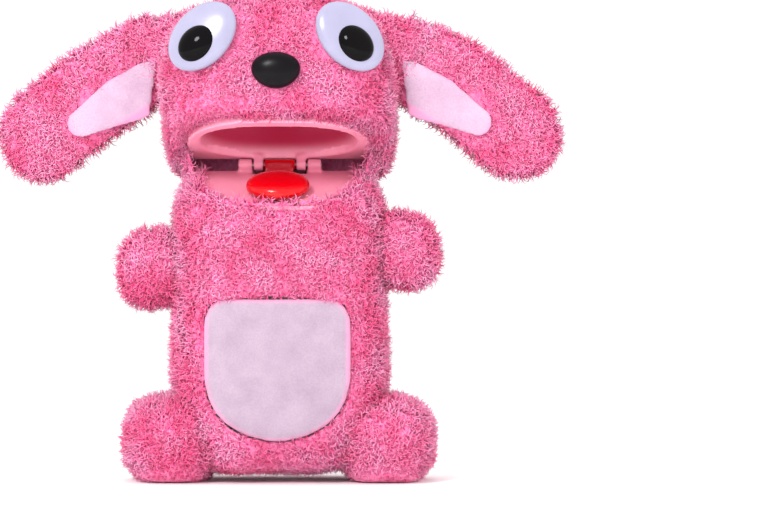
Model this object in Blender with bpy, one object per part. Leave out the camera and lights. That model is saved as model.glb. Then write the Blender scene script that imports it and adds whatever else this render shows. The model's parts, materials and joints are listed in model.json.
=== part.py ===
"""Moving mouth puppet: a long-eared plush animal over a plastic squeeze mechanism.

Pressing the belly tips the trigger about a pin low in the casing. Its rear arm pulls the link rod
down, the rod pulls the crank behind the mouth hinge, and the head tips back on the hinge pin.
The puppet faces -Y with +Z up and stands on z = 0, modelled with the mouth open.
"""
import bpy
import bmesh
from math import cos, sin, tan, radians, pi
from mathutils import Matrix, Vector

MM = 0.001
GAP = 0.3 * MM                      # between touching pieces
RUN = 0.3 * MM                      # clearance of a pin in its bore

# mouth hinge and jaws
HINGE = Vector((0, 9, 128)) * MM
JAW_DROP = radians(22)              # the lower jaw slopes down to the front
HEAD_LIFT = radians(16)             # the palate slopes up to the front
JAW_HALF_WIDTH = 32 * MM
PALATE_HALF_WIDTH = 37 * MM
JAW_DEPTH = 40 * MM
PALATE_DEPTH = 46 * MM
PALATE_CORNER = 29 * MM
PALATE_THICK = 13 * MM
VAULT_HALF = Vector((31.5, 20, 10.4)) * MM       # the hollow under the palate
JAW_CORNER = 24 * MM
PALATE_LEVEL = 2.8 * MM             # palate underside above the hinge axis
JAW_LEVEL = -2.5 * MM               # lower jaw top below the hinge axis
JAW_THICK = 2.4 * MM
KNUCKLE_RADIUS = 2.4 * MM
INNER_KNUCKLE = (6.7 * MM, 10.6 * MM)
OUTER_KNUCKLE = (11.1 * MM, 17 * MM)
PIN_RADIUS = 1.0 * MM
TONGUE_HALF = Vector((13, 12, 2.2)) * MM
TONGUE_PLACE = Vector((0, -26.5, 0.4)) * MM      # from the hinge, along the lower jaw
TONGUE_NECK = Vector((11.6, 21, 3.4)) * MM
TONGUE_BARREL = 12.6 * MM

# squeeze mechanism
RATIO = 3.5                         # head angle per trigger angle
CRANK = 9 * MM
CRANK_DROP = radians(15)            # crank below level at rest, level in mid travel
ARM = CRANK * RATIO
ARM_DROP = CRANK_DROP / RATIO
CRANK_PIN = HINGE + Vector((0, CRANK * cos(CRANK_DROP), -CRANK * sin(CRANK_DROP)))
TRIGGER_PIVOT = Vector((0, CRANK_PIN.y - ARM * cos(ARM_DROP), 26 * MM))
ARM_PIN = TRIGGER_PIVOT + Vector((0, ARM * cos(ARM_DROP), -ARM * sin(ARM_DROP)))
TRIGGER_PLATE = Vector((36, 3, 39)) * MM
TRIGGER_PLATE_PLACE = Vector((0, -19, 50.5)) * MM
TRIGGER_WINDOW = Vector((38.4, 14, 51)) * MM
TRIGGER_WINDOW_PLACE = Vector((0, -19.5, 46.5)) * MM
TRIGGER_PIN = 42 * MM
LINK_THICK = 2.8 * MM
EYE_END_RADIUS = 3 * MM             # round the holes at both ends of the link
SPRING_RADIUS = 3.9 * MM
SPRING_WIRE = 0.4 * MM
SPRING_TURNS = 4
SPRING_PITCH = 1.0 * MM
SPRING_END = 17.2 * MM              # side of the last turn from the middle
SPRING_LEGS = (3 * MM, 8 * MM)

# casing
CASING_SIZE = Vector((58, 40, 86)) * MM
CASING_CENTRE = Vector((0, 4, 57)) * MM
WALL = 2 * MM
CASING_ROUND = 5 * MM
SCREW_PLACES = ((23 * MM, 20 * MM), (22 * MM, 91 * MM))
BOSS_RADIUS = 3.6 * MM
JAW_POST = Vector((12, -6, 0)) * MM
JAW_POST_RADIUS = 3.2 * MM
SCREW_THICK = 1.5 * MM              # of a screw's head
CASING_SCREW = (27 * MM, 2.6 * MM, 1.2 * MM)     # shaft length, head radius, shaft radius
JAW_SCREW = (10 * MM, 2.4 * MM, 1.0 * MM)

# soft body, half sizes at about half the depth of the pile
BODY_CENTRE = Vector((0, 4, 66)) * MM
BODY_HALF = Vector((42.5, 32, 64)) * MM
BODY_ROUND = (5, 3)                 # superellipse powers: along Z, around Z
HEAD_CENTRE = Vector((0, 2.5, 152)) * MM
HEAD_HALF = Vector((46, 42.5, 43)) * MM
HEAD_ROUND = (4, 3)                 # powers: along Y, around Y
SKIN = 3 * MM                       # backing and pile of the plush covers
HEAD_RIM = -1 * MM                  # head cover's edge below the hinge axis
BODY_RIM = -5.4 * MM                # body cover's edge below the hinge axis
PATCH_HALF = Vector((29, 0, 28.5)) * MM
PATCH_CENTRE_Z = 45.5 * MM
PATCH_OUT = 1.5 * MM                # the patch stands proud of the body
PATCH_IN = 6 * MM
LEG_PLACE = Vector((43, 3, 15)) * MM
LEG_HALF = Vector((19, 28, 19)) * MM

EAR_PIVOT = Vector((47.5, 3, 174)) * MM
EAR_LENGTH = 75 * MM
EAR_HALF_WIDTH = 19 * MM
EAR_HALF_THICK = 6 * MM
EAR_DROOP = {"left": radians(32), "right": radians(31)}
EAR_SWING = (radians(18), radians(20))      # down, up
LINING_START = 7 * MM               # from the ear's seam
LINING_LENGTH = 42 * MM
LINING_HALF_WIDTH = 9.5 * MM
LINING_DROP = 8 * MM                # below the ear's middle line
LINING_THICK = 1.4 * MM
ARM_PIVOTS = {"left": Vector((-44, 0, 89)) * MM, "right": Vector((44, 0, 96)) * MM}
ARM_SWING = radians(18)
ARM_SHIFT = Vector((6, -1, -3)) * MM             # outward, of its middle from its seam
ARM_HALF = Vector((14.5, 12, 16)) * MM
SEAM_ROOM = radians(3)              # spare angle beyond a limb's swing

EYE_PLACE = Vector((29, -37.6, 177)) * MM
EYE_HALF = Vector((11.6, 3.6, 15.8)) * MM
EYE_LEAN = radians(42)              # long axis leans in at the top
EYE_TURN = (radians(-11), radians(14))      # faces a little up and outward
PUPIL_HALF = Vector((7.2, 4.0, 7.4)) * MM
PUPIL_SHIFT = Vector((1.6, -2.2, -3.4)) * MM
NOSE_PLACE = Vector((0, -41.5, 163.5)) * MM
NOSE_HALF = Vector((9.6, 5.2, 7.2)) * MM
STEM_RADIUS = 2 * MM
WASHER_RADIUS = 7 * MM
WASHER_THICK = 1.6 * MM


for old in list(bpy.data.objects):
    bpy.data.objects.remove(old, do_unlink=True)

puppet = bpy.data.collections.new("moving_mouth_puppet")
tools = bpy.data.collections.new("cutters")
for collection in (puppet, tools):
    bpy.context.scene.collection.children.link(collection)


def material(name, colour, roughness, metallic=0.0):
    mat = bpy.data.materials.new(name)
    mat.use_nodes = True
    shader = mat.node_tree.nodes["Principled BSDF"]
    shader.inputs["Base Color"].default_value = (*colour, 1)
    shader.inputs["Roughness"].default_value = roughness
    shader.inputs["Metallic"].default_value = metallic
    mat.diffuse_color = (*colour, 1)
    return mat


def pivot(name, place, parent=None):
    """An empty on a joint's axis, which carries the moving pieces."""
    empty = bpy.data.objects.new(name, None)
    puppet.objects.link(empty)
    empty.empty_display_size = 0.01
    empty.parent = parent
    empty.location = place - parent_place(parent)
    return empty


def parent_place(parent):
    return parent_place(parent.parent) + parent.location if parent else Vector((0, 0, 0))


def piece(name, bm, place, mat, parent=None, turn=Matrix(), smooth=True):
    """A named piece of the puppet from its bmesh, at its place in the world."""
    obj = as_object(name, bm, puppet, place - parent_place(parent), turn, smooth)
    obj.parent = parent
    obj.data.materials.append(material(name, *mat))
    return obj


def tool(name, bm, place, turn=Matrix()):
    """A hidden shape that cuts or joins others."""
    obj = as_object(name, bm, tools, Vector(place), turn, False)
    obj.hide_render = True
    obj.display_type = "WIRE"
    return obj


def as_object(name, bm, collection, place, turn, smooth):
    mesh = bpy.data.meshes.new(name)
    bmesh.ops.recalc_face_normals(bm, faces=bm.faces)
    bm.to_mesh(mesh)
    bm.free()
    if smooth:
        mesh.shade_smooth()
        mesh.set_sharp_from_angle(angle=radians(35))
    obj = bpy.data.objects.new(name, mesh)
    collection.objects.link(obj)
    obj.location = place
    obj.rotation_euler = turn.to_euler()
    return obj


def boolean(obj, other, operation):
    mod = obj.modifiers.new(other.name, "BOOLEAN")
    mod.operation = operation
    mod.object = other
    return obj


def cut(obj, *others):
    for other in others:
        boolean(obj, other, "DIFFERENCE")
    return obj


def join(obj, *others):
    for other in others:
        boolean(obj, other, "UNION")
    return obj


def keep(obj, other):
    return boolean(obj, other, "INTERSECT")


def box(size, centre=(0, 0, 0), round_by=0.0, steps=2):
    """A block of the given size with its edges rounded."""
    bm = bmesh.new()
    bmesh.ops.create_cube(bm, size=1)
    bmesh.ops.scale(bm, vec=size, verts=bm.verts)
    if round_by:
        bmesh.ops.bevel(bm, geom=bm.edges[:], offset=round_by, segments=steps, profile=0.5,
                        affect="EDGES")
    bmesh.ops.translate(bm, vec=Vector(centre), verts=bm.verts)
    return bm


def rod(radius, length, axis="X", centre=(0, 0, 0), sides=16):
    """A straight round bar about its centre."""
    bm = bmesh.new()
    bmesh.ops.create_cone(bm, cap_ends=True, segments=sides, radius1=radius,
                          radius2=radius, depth=length)
    turns = {"X": Matrix.Rotation(pi / 2, 3, "Y"), "Y": Matrix.Rotation(-pi / 2, 3, "X"),
             "Z": Matrix.Identity(3)}
    bmesh.ops.rotate(bm, cent=(0, 0, 0), matrix=turns[axis], verts=bm.verts)
    bmesh.ops.translate(bm, vec=Vector(centre), verts=bm.verts)
    return bm


def power(value, exponent):
    return abs(value) ** exponent * (1 if value >= 0 else -1)


def blob(half, powers=(2, 2), pole="Z", around=28, along=14):
    """A superellipsoid: powers of 2 make an ellipsoid, higher ones a rounded block."""
    bm = bmesh.new()
    bmesh.ops.create_uvsphere(bm, u_segments=around, v_segments=along, radius=1)
    for vert in bm.verts:
        flat = Vector((vert.co.x, vert.co.y)).length
        ring = flat ** (2 / powers[0])
        side = [power(v / flat, 2 / powers[1]) * ring if flat > 1e-6 else 0 for v in vert.co.xy]
        vert.co = (side[0], side[1], power(vert.co.z, 2 / powers[0]))
    if pole != "Z":
        axis = "X" if pole == "Y" else "Y"
        bmesh.ops.rotate(bm, cent=(0, 0, 0), matrix=Matrix.Rotation(pi / 2, 3, axis), verts=bm.verts)
    bmesh.ops.scale(bm, vec=half, verts=bm.verts)
    return bm


def plate(points, thickness, axis="Z", round_by=0.0):
    """A flat outline drawn in X and Y with a thickness, which runs along the given axis."""
    curve = bpy.data.curves.new("outline", "CURVE")
    curve.dimensions = "2D"
    curve.fill_mode = "BOTH"
    curve.extrude = thickness / 2
    line = curve.splines.new("POLY")
    line.points.add(len(points) - 1)
    for point, (x, y) in zip(line.points, points):
        point.co = (x, y, 0, 1)
    line.use_cyclic_u = True
    drawn = bpy.data.objects.new("outline", curve)
    mesh = bpy.data.meshes.new_from_object(drawn)
    bm = bmesh.new()
    bm.from_mesh(mesh)
    bmesh.ops.remove_doubles(bm, verts=bm.verts, dist=0.001 * MM)
    bmesh.ops.dissolve_limit(bm, angle_limit=0.01, verts=bm.verts, edges=bm.edges)
    if round_by:
        rims = [e for e in bm.edges if len(e.link_faces) == 2
                and max(abs(f.normal.z) for f in e.link_faces) > 0.9]
        bmesh.ops.bevel(bm, geom=rims, offset=round_by, segments=2, profile=0.5, affect="EDGES")
    if axis == "Y":
        bmesh.ops.rotate(bm, cent=(0, 0, 0), matrix=Matrix.Rotation(pi / 2, 3, "X"), verts=bm.verts)
    bpy.data.objects.remove(drawn)
    bpy.data.curves.remove(curve)
    bpy.data.meshes.remove(mesh)
    return bm


def arc(centre, radius, start, end, count):
    """Points along an arc, angles in degrees."""
    angles = [radians(start + (end - start) * k / count) for k in range(count + 1)]
    return [(centre[0] + radius * cos(a), centre[1] + radius * sin(a)) for a in angles]


def mouth_outline(half_width, depth, corner, back):
    """A jaw seen from above: straight at the hinge, round at the front corners."""
    left = arc((-half_width + corner, -depth + corner), corner, 180, 270, 6)
    right = arc((half_width - corner, -depth + corner), corner, 270, 360, 6)
    return [(half_width, back), (-half_width, back)] + left + right


def patch_outline(margin=0.0, drop=0.0):
    """The belly patch: flat top with round corners, a full U below. Second axis is up."""
    wide = PATCH_HALF.x + margin
    high = PATCH_HALF.z + margin
    corner = 9 * MM + margin
    top_right = arc((wide - corner, high - corner), corner, 0, 90, 4)
    top_left = arc((-wide + corner, high - corner), corner, 90, 180, 4)
    bowl = [(-wide * cos(a), -4 * MM - (high - 4 * MM + drop) * sin(a))
            for a in (pi * k / 12 for k in range(13))]
    return top_right + top_left + bowl


def half_space(name, place, tilt, side):
    """A big block below (side -1) or above (side 1) a plane tilted about X."""
    size = 400 * MM
    return tool(name, box((size, size, size), (0, 0, side * size / 2)), place,
                Matrix.Rotation(tilt, 4, "X"))


PINK_PLUSH = ((0.86, 0.14, 0.33), 0.95)
PINK_PLASTIC = ((0.80, 0.20, 0.28), 0.40)
PALE_PILE = ((0.75, 0.62, 0.80), 0.85)
WHITE_PLASTIC = ((0.76, 0.74, 0.90), 0.25)
BLACK_GLOSS = ((0.012, 0.010, 0.014), 0.12)
RED_GLOSS = ((0.70, 0.0, 0.01), 0.18)
GREY_PLASTIC = ((0.55, 0.55, 0.55), 0.50)
STEEL = ((0.62, 0.62, 0.63), 0.30, 1.0)
FILLING = ((0.82, 0.82, 0.80), 1.0)

torso = pivot("torso_origin", Vector((0, 0, 0)))
head = pivot("head_pivot", HINGE, torso)
trigger = pivot("trigger_pivot", TRIGGER_PIVOT, torso)
link = pivot("link_pivot", ARM_PIN, trigger)
jaw_turn = Matrix.Rotation(JAW_DROP, 4, "X")
head_turn = Matrix.Rotation(-HEAD_LIFT, 4, "X")


def hinge_bore():
    return tool("hinge_bore", rod(PIN_RADIUS + RUN, 60 * MM), HINGE)


def knuckle(name, side, span, half_height):
    """A hinge knuckle on the pin, with the web that carries it above or below the pin."""
    middle = side * (span[0] + span[1]) / 2
    width = span[1] - span[0]
    barrel = tool(f"{name}_barrel", rod(KNUCKLE_RADIUS, width, "X", (middle, 0, 0)), HINGE)
    web = box((width - 0.5 * MM, 4 * MM, abs(half_height)), (middle, 0, half_height / 2))
    return barrel, web


def make_lower_jaw(bore):
    outline = mouth_outline(JAW_HALF_WIDTH, JAW_DEPTH, JAW_CORNER, 0.5 * MM)
    bm = plate(outline, JAW_THICK)
    bmesh.ops.translate(bm, vec=(0, 0, JAW_LEVEL - JAW_THICK / 2), verts=bm.verts)
    jaw = piece("lower_jaw", bm, HINGE, PINK_PLASTIC, torso, jaw_turn)
    for side in (-1, 1):
        barrel, web = knuckle(f"jaw_knuckle_{side}", side, OUTER_KNUCKLE, -4 * MM)
        join(jaw, tool(f"jaw_web_{side}", web, HINGE, jaw_turn), barrel)
        top = HINGE.z - 5 * MM - (HINGE.y - JAW_POST.y) * tan(JAW_DROP)
        foot = CASING_CENTRE.z + CASING_SIZE.z / 2 + GAP
        post = rod(JAW_POST_RADIUS, top - foot + 1 * MM, "Z")
        middle = (top + foot + 1 * MM) / 2
        join(jaw, tool(f"jaw_post_{side}", post, (side * JAW_POST.x, JAW_POST.y, middle)))
        hole = rod(JAW_SCREW[2] + RUN, 20 * MM, "Z")
        cut(jaw, tool(f"jaw_post_hole_{side}", hole, (side * JAW_POST.x, JAW_POST.y, foot)))
    notch = box((2 * (OUTER_KNUCKLE[0] - GAP), 7.5 * MM, 8 * MM), (0, 0.2 * MM, JAW_LEVEL))
    cut(jaw, tool("jaw_notch", notch, HINGE, jaw_turn), bore)
    return jaw


def make_upper_jaw(bore):
    outline = mouth_outline(PALATE_HALF_WIDTH, PALATE_DEPTH, PALATE_CORNER, 2 * MM)
    bm = plate(outline, PALATE_THICK)
    bmesh.ops.translate(bm, vec=(0, 0, PALATE_LEVEL + PALATE_THICK / 2), verts=bm.verts)
    palate = piece("upper_jaw", bm, HINGE, PINK_PLASTIC, head, head_turn)
    vault = blob(VAULT_HALF, (2.2, 2.4), around=32, along=16)
    bmesh.ops.translate(vault, vec=Vector((0, -20.5 * MM, PALATE_LEVEL)), verts=vault.verts)
    cut(palate, tool("palate_vault", vault, HINGE, head_turn))
    for side in (-1, 1):
        barrel, web = knuckle(f"palate_knuckle_{side}", side, INNER_KNUCKLE, 4 * MM)
        middle = side * (INNER_KNUCKLE[0] + INNER_KNUCKLE[1]) / 2
        width = INNER_KNUCKLE[1] - INNER_KNUCKLE[0]
        crank = box((width - 0.9 * MM, CRANK + 4 * MM, 4.2 * MM), (middle, CRANK / 2 + 0.3 * MM, 0))
        arm = tool(f"crank_arm_{side}", crank, HINGE, Matrix.Rotation(-CRANK_DROP, 4, "X"))
        join(palate, tool(f"palate_web_{side}", web, HINGE, head_turn), barrel, arm)
    crank_bore = tool("crank_bore", rod(PIN_RADIUS + RUN, 40 * MM), CRANK_PIN)
    cut(palate, bore, crank_bore)
    pin = rod(PIN_RADIUS, 2 * INNER_KNUCKLE[1])
    piece("crank_pin", pin, CRANK_PIN, STEEL, head)
    return palate


def make_tongue(bore):
    bm = blob(TONGUE_HALF, (3, 2), around=24, along=8)
    bmesh.ops.translate(bm, vec=TONGUE_PLACE, verts=bm.verts)
    tongue = piece("tongue", bm, HINGE, RED_GLOSS, torso, jaw_turn)
    neck = box(TONGUE_NECK, Vector((0, -10, -0.1)) * MM, 1 * MM, 1)
    barrel = rod(KNUCKLE_RADIUS, TONGUE_BARREL)
    join(tongue, tool("tongue_neck", neck, HINGE, jaw_turn), tool("tongue_barrel", barrel, HINGE))
    return cut(tongue, bore)


def make_hinge_pin():
    piece("mouth_hinge_pin", rod(PIN_RADIUS, 2 * OUTER_KNUCKLE[1]), HINGE, STEEL, torso)


def make_trigger():
    """The belly trigger: pressed plate in front, barrel on its pin, long arm to the rear."""
    front = box(TRIGGER_PLATE, (0, 0, 0), 1 * MM, 1)
    bmesh.ops.translate(front, vec=TRIGGER_PLATE_PLACE - TRIGGER_PIVOT, verts=front.verts)
    lever = piece("belly_trigger", front, TRIGGER_PIVOT, GREY_PLASTIC, trigger)
    web_depth = 6 * MM
    web = box((24 * MM, web_depth, 9 * MM), (0, -web_depth / 2, 3.6 * MM))
    barrel = rod(3 * MM, 32 * MM)
    arm = box((9 * MM, ARM + 4 * MM, 5.5 * MM), (0, ARM / 2 + 1 * MM, 0), 1 * MM, 1)
    arm_turn = Matrix.Rotation(-ARM_DROP, 4, "X")
    slot = box((3.6 * MM, 12 * MM, 12 * MM), (0, ARM, 0))
    join(lever, tool("trigger_web", web, TRIGGER_PIVOT), tool("trigger_barrel", barrel, TRIGGER_PIVOT),
         tool("trigger_arm", arm, TRIGGER_PIVOT, arm_turn))
    bores = [tool("trigger_bore", rod(PIN_RADIUS + RUN, 60 * MM), TRIGGER_PIVOT),
             tool("arm_pin_bore", rod(PIN_RADIUS + RUN, 20 * MM), ARM_PIN)]
    cut(lever, tool("arm_slot", slot, TRIGGER_PIVOT, arm_turn), *bores)
    piece("trigger_pivot_pin", rod(PIN_RADIUS, TRIGGER_PIN), TRIGGER_PIVOT, STEEL, torso)
    piece("link_lower_pin", rod(PIN_RADIUS, 8.6 * MM), ARM_PIN, STEEL, trigger)


def make_link():
    length = CRANK_PIN.z - ARM_PIN.z
    strip = box((LINK_THICK, 4 * MM, length), (0, 0, length / 2))
    rod_piece = piece("link_rod", strip, ARM_PIN, GREY_PLASTIC, link, smooth=False)
    for name, place, play in (("link_lower", ARM_PIN, RUN), ("link_upper", CRANK_PIN, 2 * RUN)):
        join(rod_piece, tool(f"{name}_eye", rod(EYE_END_RADIUS, LINK_THICK), place))
        cut(rod_piece, tool(f"{name}_hole", rod(PIN_RADIUS + play, 10 * MM), place))


def make_return_spring():
    """A torsion spring on the trigger's pin, one leg on the casing, one toward the trigger."""
    steps = 10
    start = SPRING_END - SPRING_TURNS * 1.05 * MM
    coil = []
    for k in range(SPRING_TURNS * steps + 1):
        angle = 2 * pi * k / steps
        side = start + k / steps * SPRING_PITCH
        coil.append((side, SPRING_RADIUS * cos(angle), SPRING_RADIUS * sin(angle)))
    first, last = coil[0], coil[-1]
    low, high = SPRING_LEGS
    points = [(first[0], first[1], first[2] - low)] + coil + [(last[0], last[1], last[2] + high)]
    curve = bpy.data.curves.new("spring", "CURVE")
    curve.dimensions = "3D"
    curve.bevel_depth = SPRING_WIRE
    curve.bevel_resolution = 1
    curve.use_fill_caps = True
    line = curve.splines.new("POLY")
    line.points.add(len(points) - 1)
    for point, place in zip(line.points, points):
        point.co = (*place, 1)
    drawn = bpy.data.objects.new("spring", curve)
    mesh = bpy.data.meshes.new_from_object(drawn)
    bm = bmesh.new()
    bm.from_mesh(mesh)
    bmesh.ops.remove_doubles(bm, verts=bm.verts, dist=0.001 * MM)
    bpy.data.objects.remove(drawn)
    bpy.data.curves.remove(curve)
    bpy.data.meshes.remove(mesh)
    piece("return_spring", bm, TRIGGER_PIVOT, STEEL, torso)


def make_casing():
    """Two shells that meet at the middle of the body and are screwed from behind."""
    middle = CASING_CENTRE.y
    boss_length = CASING_SIZE.y / 2 - 0.8 * MM
    for name, side in (("front_casing", -1), ("rear_casing", 1)):
        shell = piece(name, box(CASING_SIZE, (0, 0, 0), CASING_ROUND), CASING_CENTRE, GREY_PLASTIC, torso)
        hollow = box(CASING_SIZE - Vector((2, 2, 2)) * WALL, (0, 0, 0), CASING_ROUND - WALL)
        cut(shell, tool(f"{name}_hollow", hollow, CASING_CENTRE))
        half = box(Vector((100, 100, 200)) * MM, (0, side * (50 * MM + GAP / 2), 0))
        keep(shell, tool(f"{name}_half", half, CASING_CENTRE))
        for x, z in SCREW_PLACES:
            for flank in (-1, 1):
                tag = f"{name}_{flank}_{z * 1000:.0f}"
                boss = rod(BOSS_RADIUS, boss_length, "Y", sides=12)
                boss_middle = middle + side * (boss_length + GAP) / 2
                join(shell, tool(f"{tag}_boss", boss, (flank * x, boss_middle, z)))
                bore = rod(CASING_SCREW[2] + RUN, 40 * MM, "Y", (0, middle + 10 * MM, 0), 12)
                cut(shell, tool(f"{tag}_bore", bore, (flank * x, 0, z)))
                if side == 1:
                    sink_middle = (0, middle + CASING_SIZE.y / 2 + 4 * MM, 0)
                    sink = rod(CASING_SCREW[1] + RUN, 12 * MM, "Y", sink_middle, 12)
                    cut(shell, tool(f"{tag}_sink", sink, (flank * x, 0, z)))
        finish_half = cut_front if side == -1 else cut_rear
        finish_half(shell)


def cut_front(shell):
    """The trigger's window, its pin lugs and the holes of the jaw screws."""
    for flank in (-1, 1):
        lug = box(Vector((2.4, 6.2, 9)) * MM)
        place = (flank * 20.8 * MM, TRIGGER_PIVOT.y + 1.7 * MM, TRIGGER_PIVOT.z + 0.5 * MM)
        join(shell, tool(f"pivot_lug_{flank}", lug, place))
    window = box(TRIGGER_WINDOW)
    cut(shell, tool("trigger_window", window, TRIGGER_WINDOW_PLACE),
        tool("pivot_hole", rod(PIN_RADIUS + RUN, TRIGGER_PIN + 2.6 * MM), TRIGGER_PIVOT))
    for flank in (-1, 1):
        hole = rod(JAW_SCREW[2] + RUN, 8 * MM, "Z")
        place = (flank * JAW_POST.x, JAW_POST.y, CASING_CENTRE.z + CASING_SIZE.z / 2)
        cut(shell, tool(f"jaw_screw_hole_{flank}", hole, place))


def cut_rear(shell):
    """The slot in the top that the link rod passes."""
    slot = box(Vector((8, 12, 12)) * MM)
    cut(shell, tool("link_slot", slot, (0, CRANK_PIN.y - 0.5 * MM, CASING_CENTRE.z + CASING_SIZE.z / 2)))


def screw(name, place, axis, length, head_radius, shaft_radius):
    """A plain pan-head screw: the head at its place, the shaft running along the axis."""
    along = Vector((0, 1, 0)) if axis == "Y" else Vector((0, 0, 1))
    sense = 1 if length > 0 else -1
    bm = rod(head_radius, SCREW_THICK, axis, sides=12)
    body = piece(name, bm, place, STEEL, torso)
    shaft = rod(shaft_radius, abs(length), axis, sides=12)
    middle = place + along * (length / 2 + sense * SCREW_THICK / 4)
    return join(body, tool(f"{name}_shaft", shaft, middle))


def make_screws():
    number = 1
    back = CASING_CENTRE.y + CASING_SIZE.y / 2 - 2 * MM + GAP + SCREW_THICK / 2
    length, head_radius, shaft_radius = CASING_SCREW
    for x, z in SCREW_PLACES:
        for flank in (-1, 1):
            place = Vector((flank * x, back, z))
            screw(f"casing_screw_{number}", place, "Y", -length, head_radius, shaft_radius)
            number += 1
    for side, flank in (("left", -1), ("right", 1)):
        top = CASING_CENTRE.z + CASING_SIZE.z / 2
        place = Vector((flank * JAW_POST.x, JAW_POST.y, top - WALL - GAP - SCREW_THICK / 2))
        screw(f"jaw_screw_{side}", place, "Z", *JAW_SCREW)


def body_blob(grow):
    return blob(BODY_HALF + Vector((grow, grow, grow)), BODY_ROUND, "Z", 32, 16)


def roof_cutters(level, name):
    """Everything above the two slopes that fall from the hinge to the front and to the back."""
    low = HINGE + Vector((0, 0, level))
    return (half_space(f"{name}_front", low, JAW_DROP, 1), half_space(f"{name}_back", low, -JAW_DROP, 1))


def make_body():
    roof = roof_cutters(BODY_RIM, "body_roof")
    window = plate(patch_outline(0.8 * MM, 1.8 * MM), 40 * MM, "Y")
    window_place = Vector((0, BODY_CENTRE.y - 30 * MM, PATCH_CENTRE_Z))
    opening = tool("patch_window", window, window_place)

    cover = piece("body_cover", body_blob(0), BODY_CENTRE, PINK_PLUSH, torso)
    inner = tool("body_hollow", body_blob(-SKIN), BODY_CENTRE)
    cut(cover, inner, *roof, opening)

    filling = piece("body_stuffing", body_blob(-SKIN - GAP), BODY_CENTRE, FILLING, torso)
    casing_room = box(CASING_SIZE + Vector((1, 1, 1)) * MM, (0, 0, 0), CASING_ROUND)
    cut(filling, tool("casing_room", casing_room, CASING_CENTRE), opening,
        half_space("stuffing_top", CASING_CENTRE + Vector((0, 0, 40 * MM)), 0, 1))

    patch = piece("belly_patch", plate(patch_outline(), 40 * MM, "Y"), window_place, PALE_PILE, trigger)
    keep(patch, tool("patch_front", body_blob(PATCH_OUT), BODY_CENTRE))
    cut(patch, tool("patch_back", body_blob(-PATCH_IN), BODY_CENTRE))


def make_legs():
    for side, flank in (("left", -1), ("right", 1)):
        centre = Vector((flank * LEG_PLACE.x, LEG_PLACE.y, LEG_PLACE.z))
        leg = piece(f"{side}_leg", blob(LEG_HALF, (3, 3), "Y", 24, 12), centre, PINK_PLUSH, torso)
        cut(leg, tool(f"{side}_leg_seam", body_blob(GAP + 0.2 * MM), BODY_CENTRE),
            half_space(f"{side}_sole", Vector((0, 0, 0)), 0, -1))


def seam_wedges(name, place, flank, up, down):
    """Cuts a limb's root back to a ridge on its pivot, so that it can swing against its body."""
    size = 120 * MM
    wedges = []
    for label, angle, side in (("upper", up, 1), ("lower", down, -1)):
        block = box((size, size, size), (-flank * size / 2, 0, 0))
        lean = Matrix.Rotation(flank * side * angle, 4, "Y")
        wedges.append(tool(f"{name}_{label}", block, place, lean))
    return wedges


def make_arms():
    for side, flank in (("left", -1), ("right", 1)):
        place = ARM_PIVOTS[side]
        carrier = pivot(f"{side}_arm_pivot", place, torso)
        centre = place + Vector((flank * ARM_SHIFT.x, ARM_SHIFT.y, ARM_SHIFT.z))
        arm = piece(f"{side}_arm", blob(ARM_HALF, (2.4, 2.4), "Z", 20, 12), centre, PINK_PLUSH, carrier)
        swing = ARM_SWING + SEAM_ROOM
        cut(arm, *seam_wedges(f"{side}_arm_root", place, flank, swing, swing))


def ear_outline(flank):
    """An ear from its seam outward: straight sides, round tip. Second axis is up."""
    wide = EAR_HALF_WIDTH
    tip = arc((EAR_LENGTH - wide * 0.9, 0), wide * 0.9, 75, -75, 8)
    sides = [(0, -wide * 0.94), (EAR_LENGTH * 0.35, -wide), (EAR_LENGTH * 0.35, wide), (0, wide * 0.94)]
    points = [sides[3], sides[2]] + tip + [sides[1], sides[0]]
    return [(flank * x, y) for x, y in points][::flank]


def lining_outline(flank):
    """The strip of pale pile on an ear's front: broad at the seam, narrowing to a round tip."""
    wide, long = LINING_HALF_WIDTH, LINING_LENGTH
    tip = arc((long - wide * 0.62, 0), wide * 0.62, 65, -65, 6)
    upper = [(0, wide * 0.84), (wide * 0.5, wide), (long * 0.45, wide * 0.96)]
    lower = [(x, -y) for x, y in upper[::-1]]
    return [(flank * x, y) for x, y in upper + tip + lower][::flank]


def make_ears():
    for side, flank in (("left", -1), ("right", 1)):
        place = Vector((flank * EAR_PIVOT.x, EAR_PIVOT.y, EAR_PIVOT.z))
        carrier = pivot(f"{side}_ear_pivot", place, head)
        turn = Matrix.Rotation(flank * EAR_DROOP[side], 4, "Y")
        ear = piece(f"{side}_ear", plate(ear_outline(flank), 2 * EAR_HALF_THICK, "Y", 3.5 * MM), place,
                    PINK_PLUSH, carrier, turn)
        swing = (EAR_SWING[1] + SEAM_ROOM, EAR_SWING[0] + SEAM_ROOM)
        cut(ear, *seam_wedges(f"{side}_ear_root", place, flank, *swing))
        leaf = plate(lining_outline(flank), LINING_THICK, "Y", 0.5 * MM)
        front = -EAR_HALF_THICK - GAP - LINING_THICK / 2
        shift = turn @ Vector((flank * LINING_START, front, -LINING_DROP))
        lining = piece(f"{side}_ear_lining", leaf, place + shift, PALE_PILE, carrier, turn)
        cut(lining, *seam_wedges(f"{side}_lining_root", place, flank, *swing))


def head_blob(grow):
    return blob(HEAD_HALF + Vector((grow, grow, grow)), HEAD_ROUND, "Y", 32, 16)


def stem_places():
    """Each face piece with its place and turn: (name, place, turn)."""
    places = [("nose", NOSE_PLACE, Matrix())]
    for side, flank in (("left", -1), ("right", 1)):
        turn = Matrix.Rotation(flank * EYE_TURN[1], 4, "Z") @ Matrix.Rotation(EYE_TURN[0], 4, "X")
        place = Vector((flank * EYE_PLACE.x, EYE_PLACE.y, EYE_PLACE.z))
        places.append((f"{side}_eye", place, turn))
    return places


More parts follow.
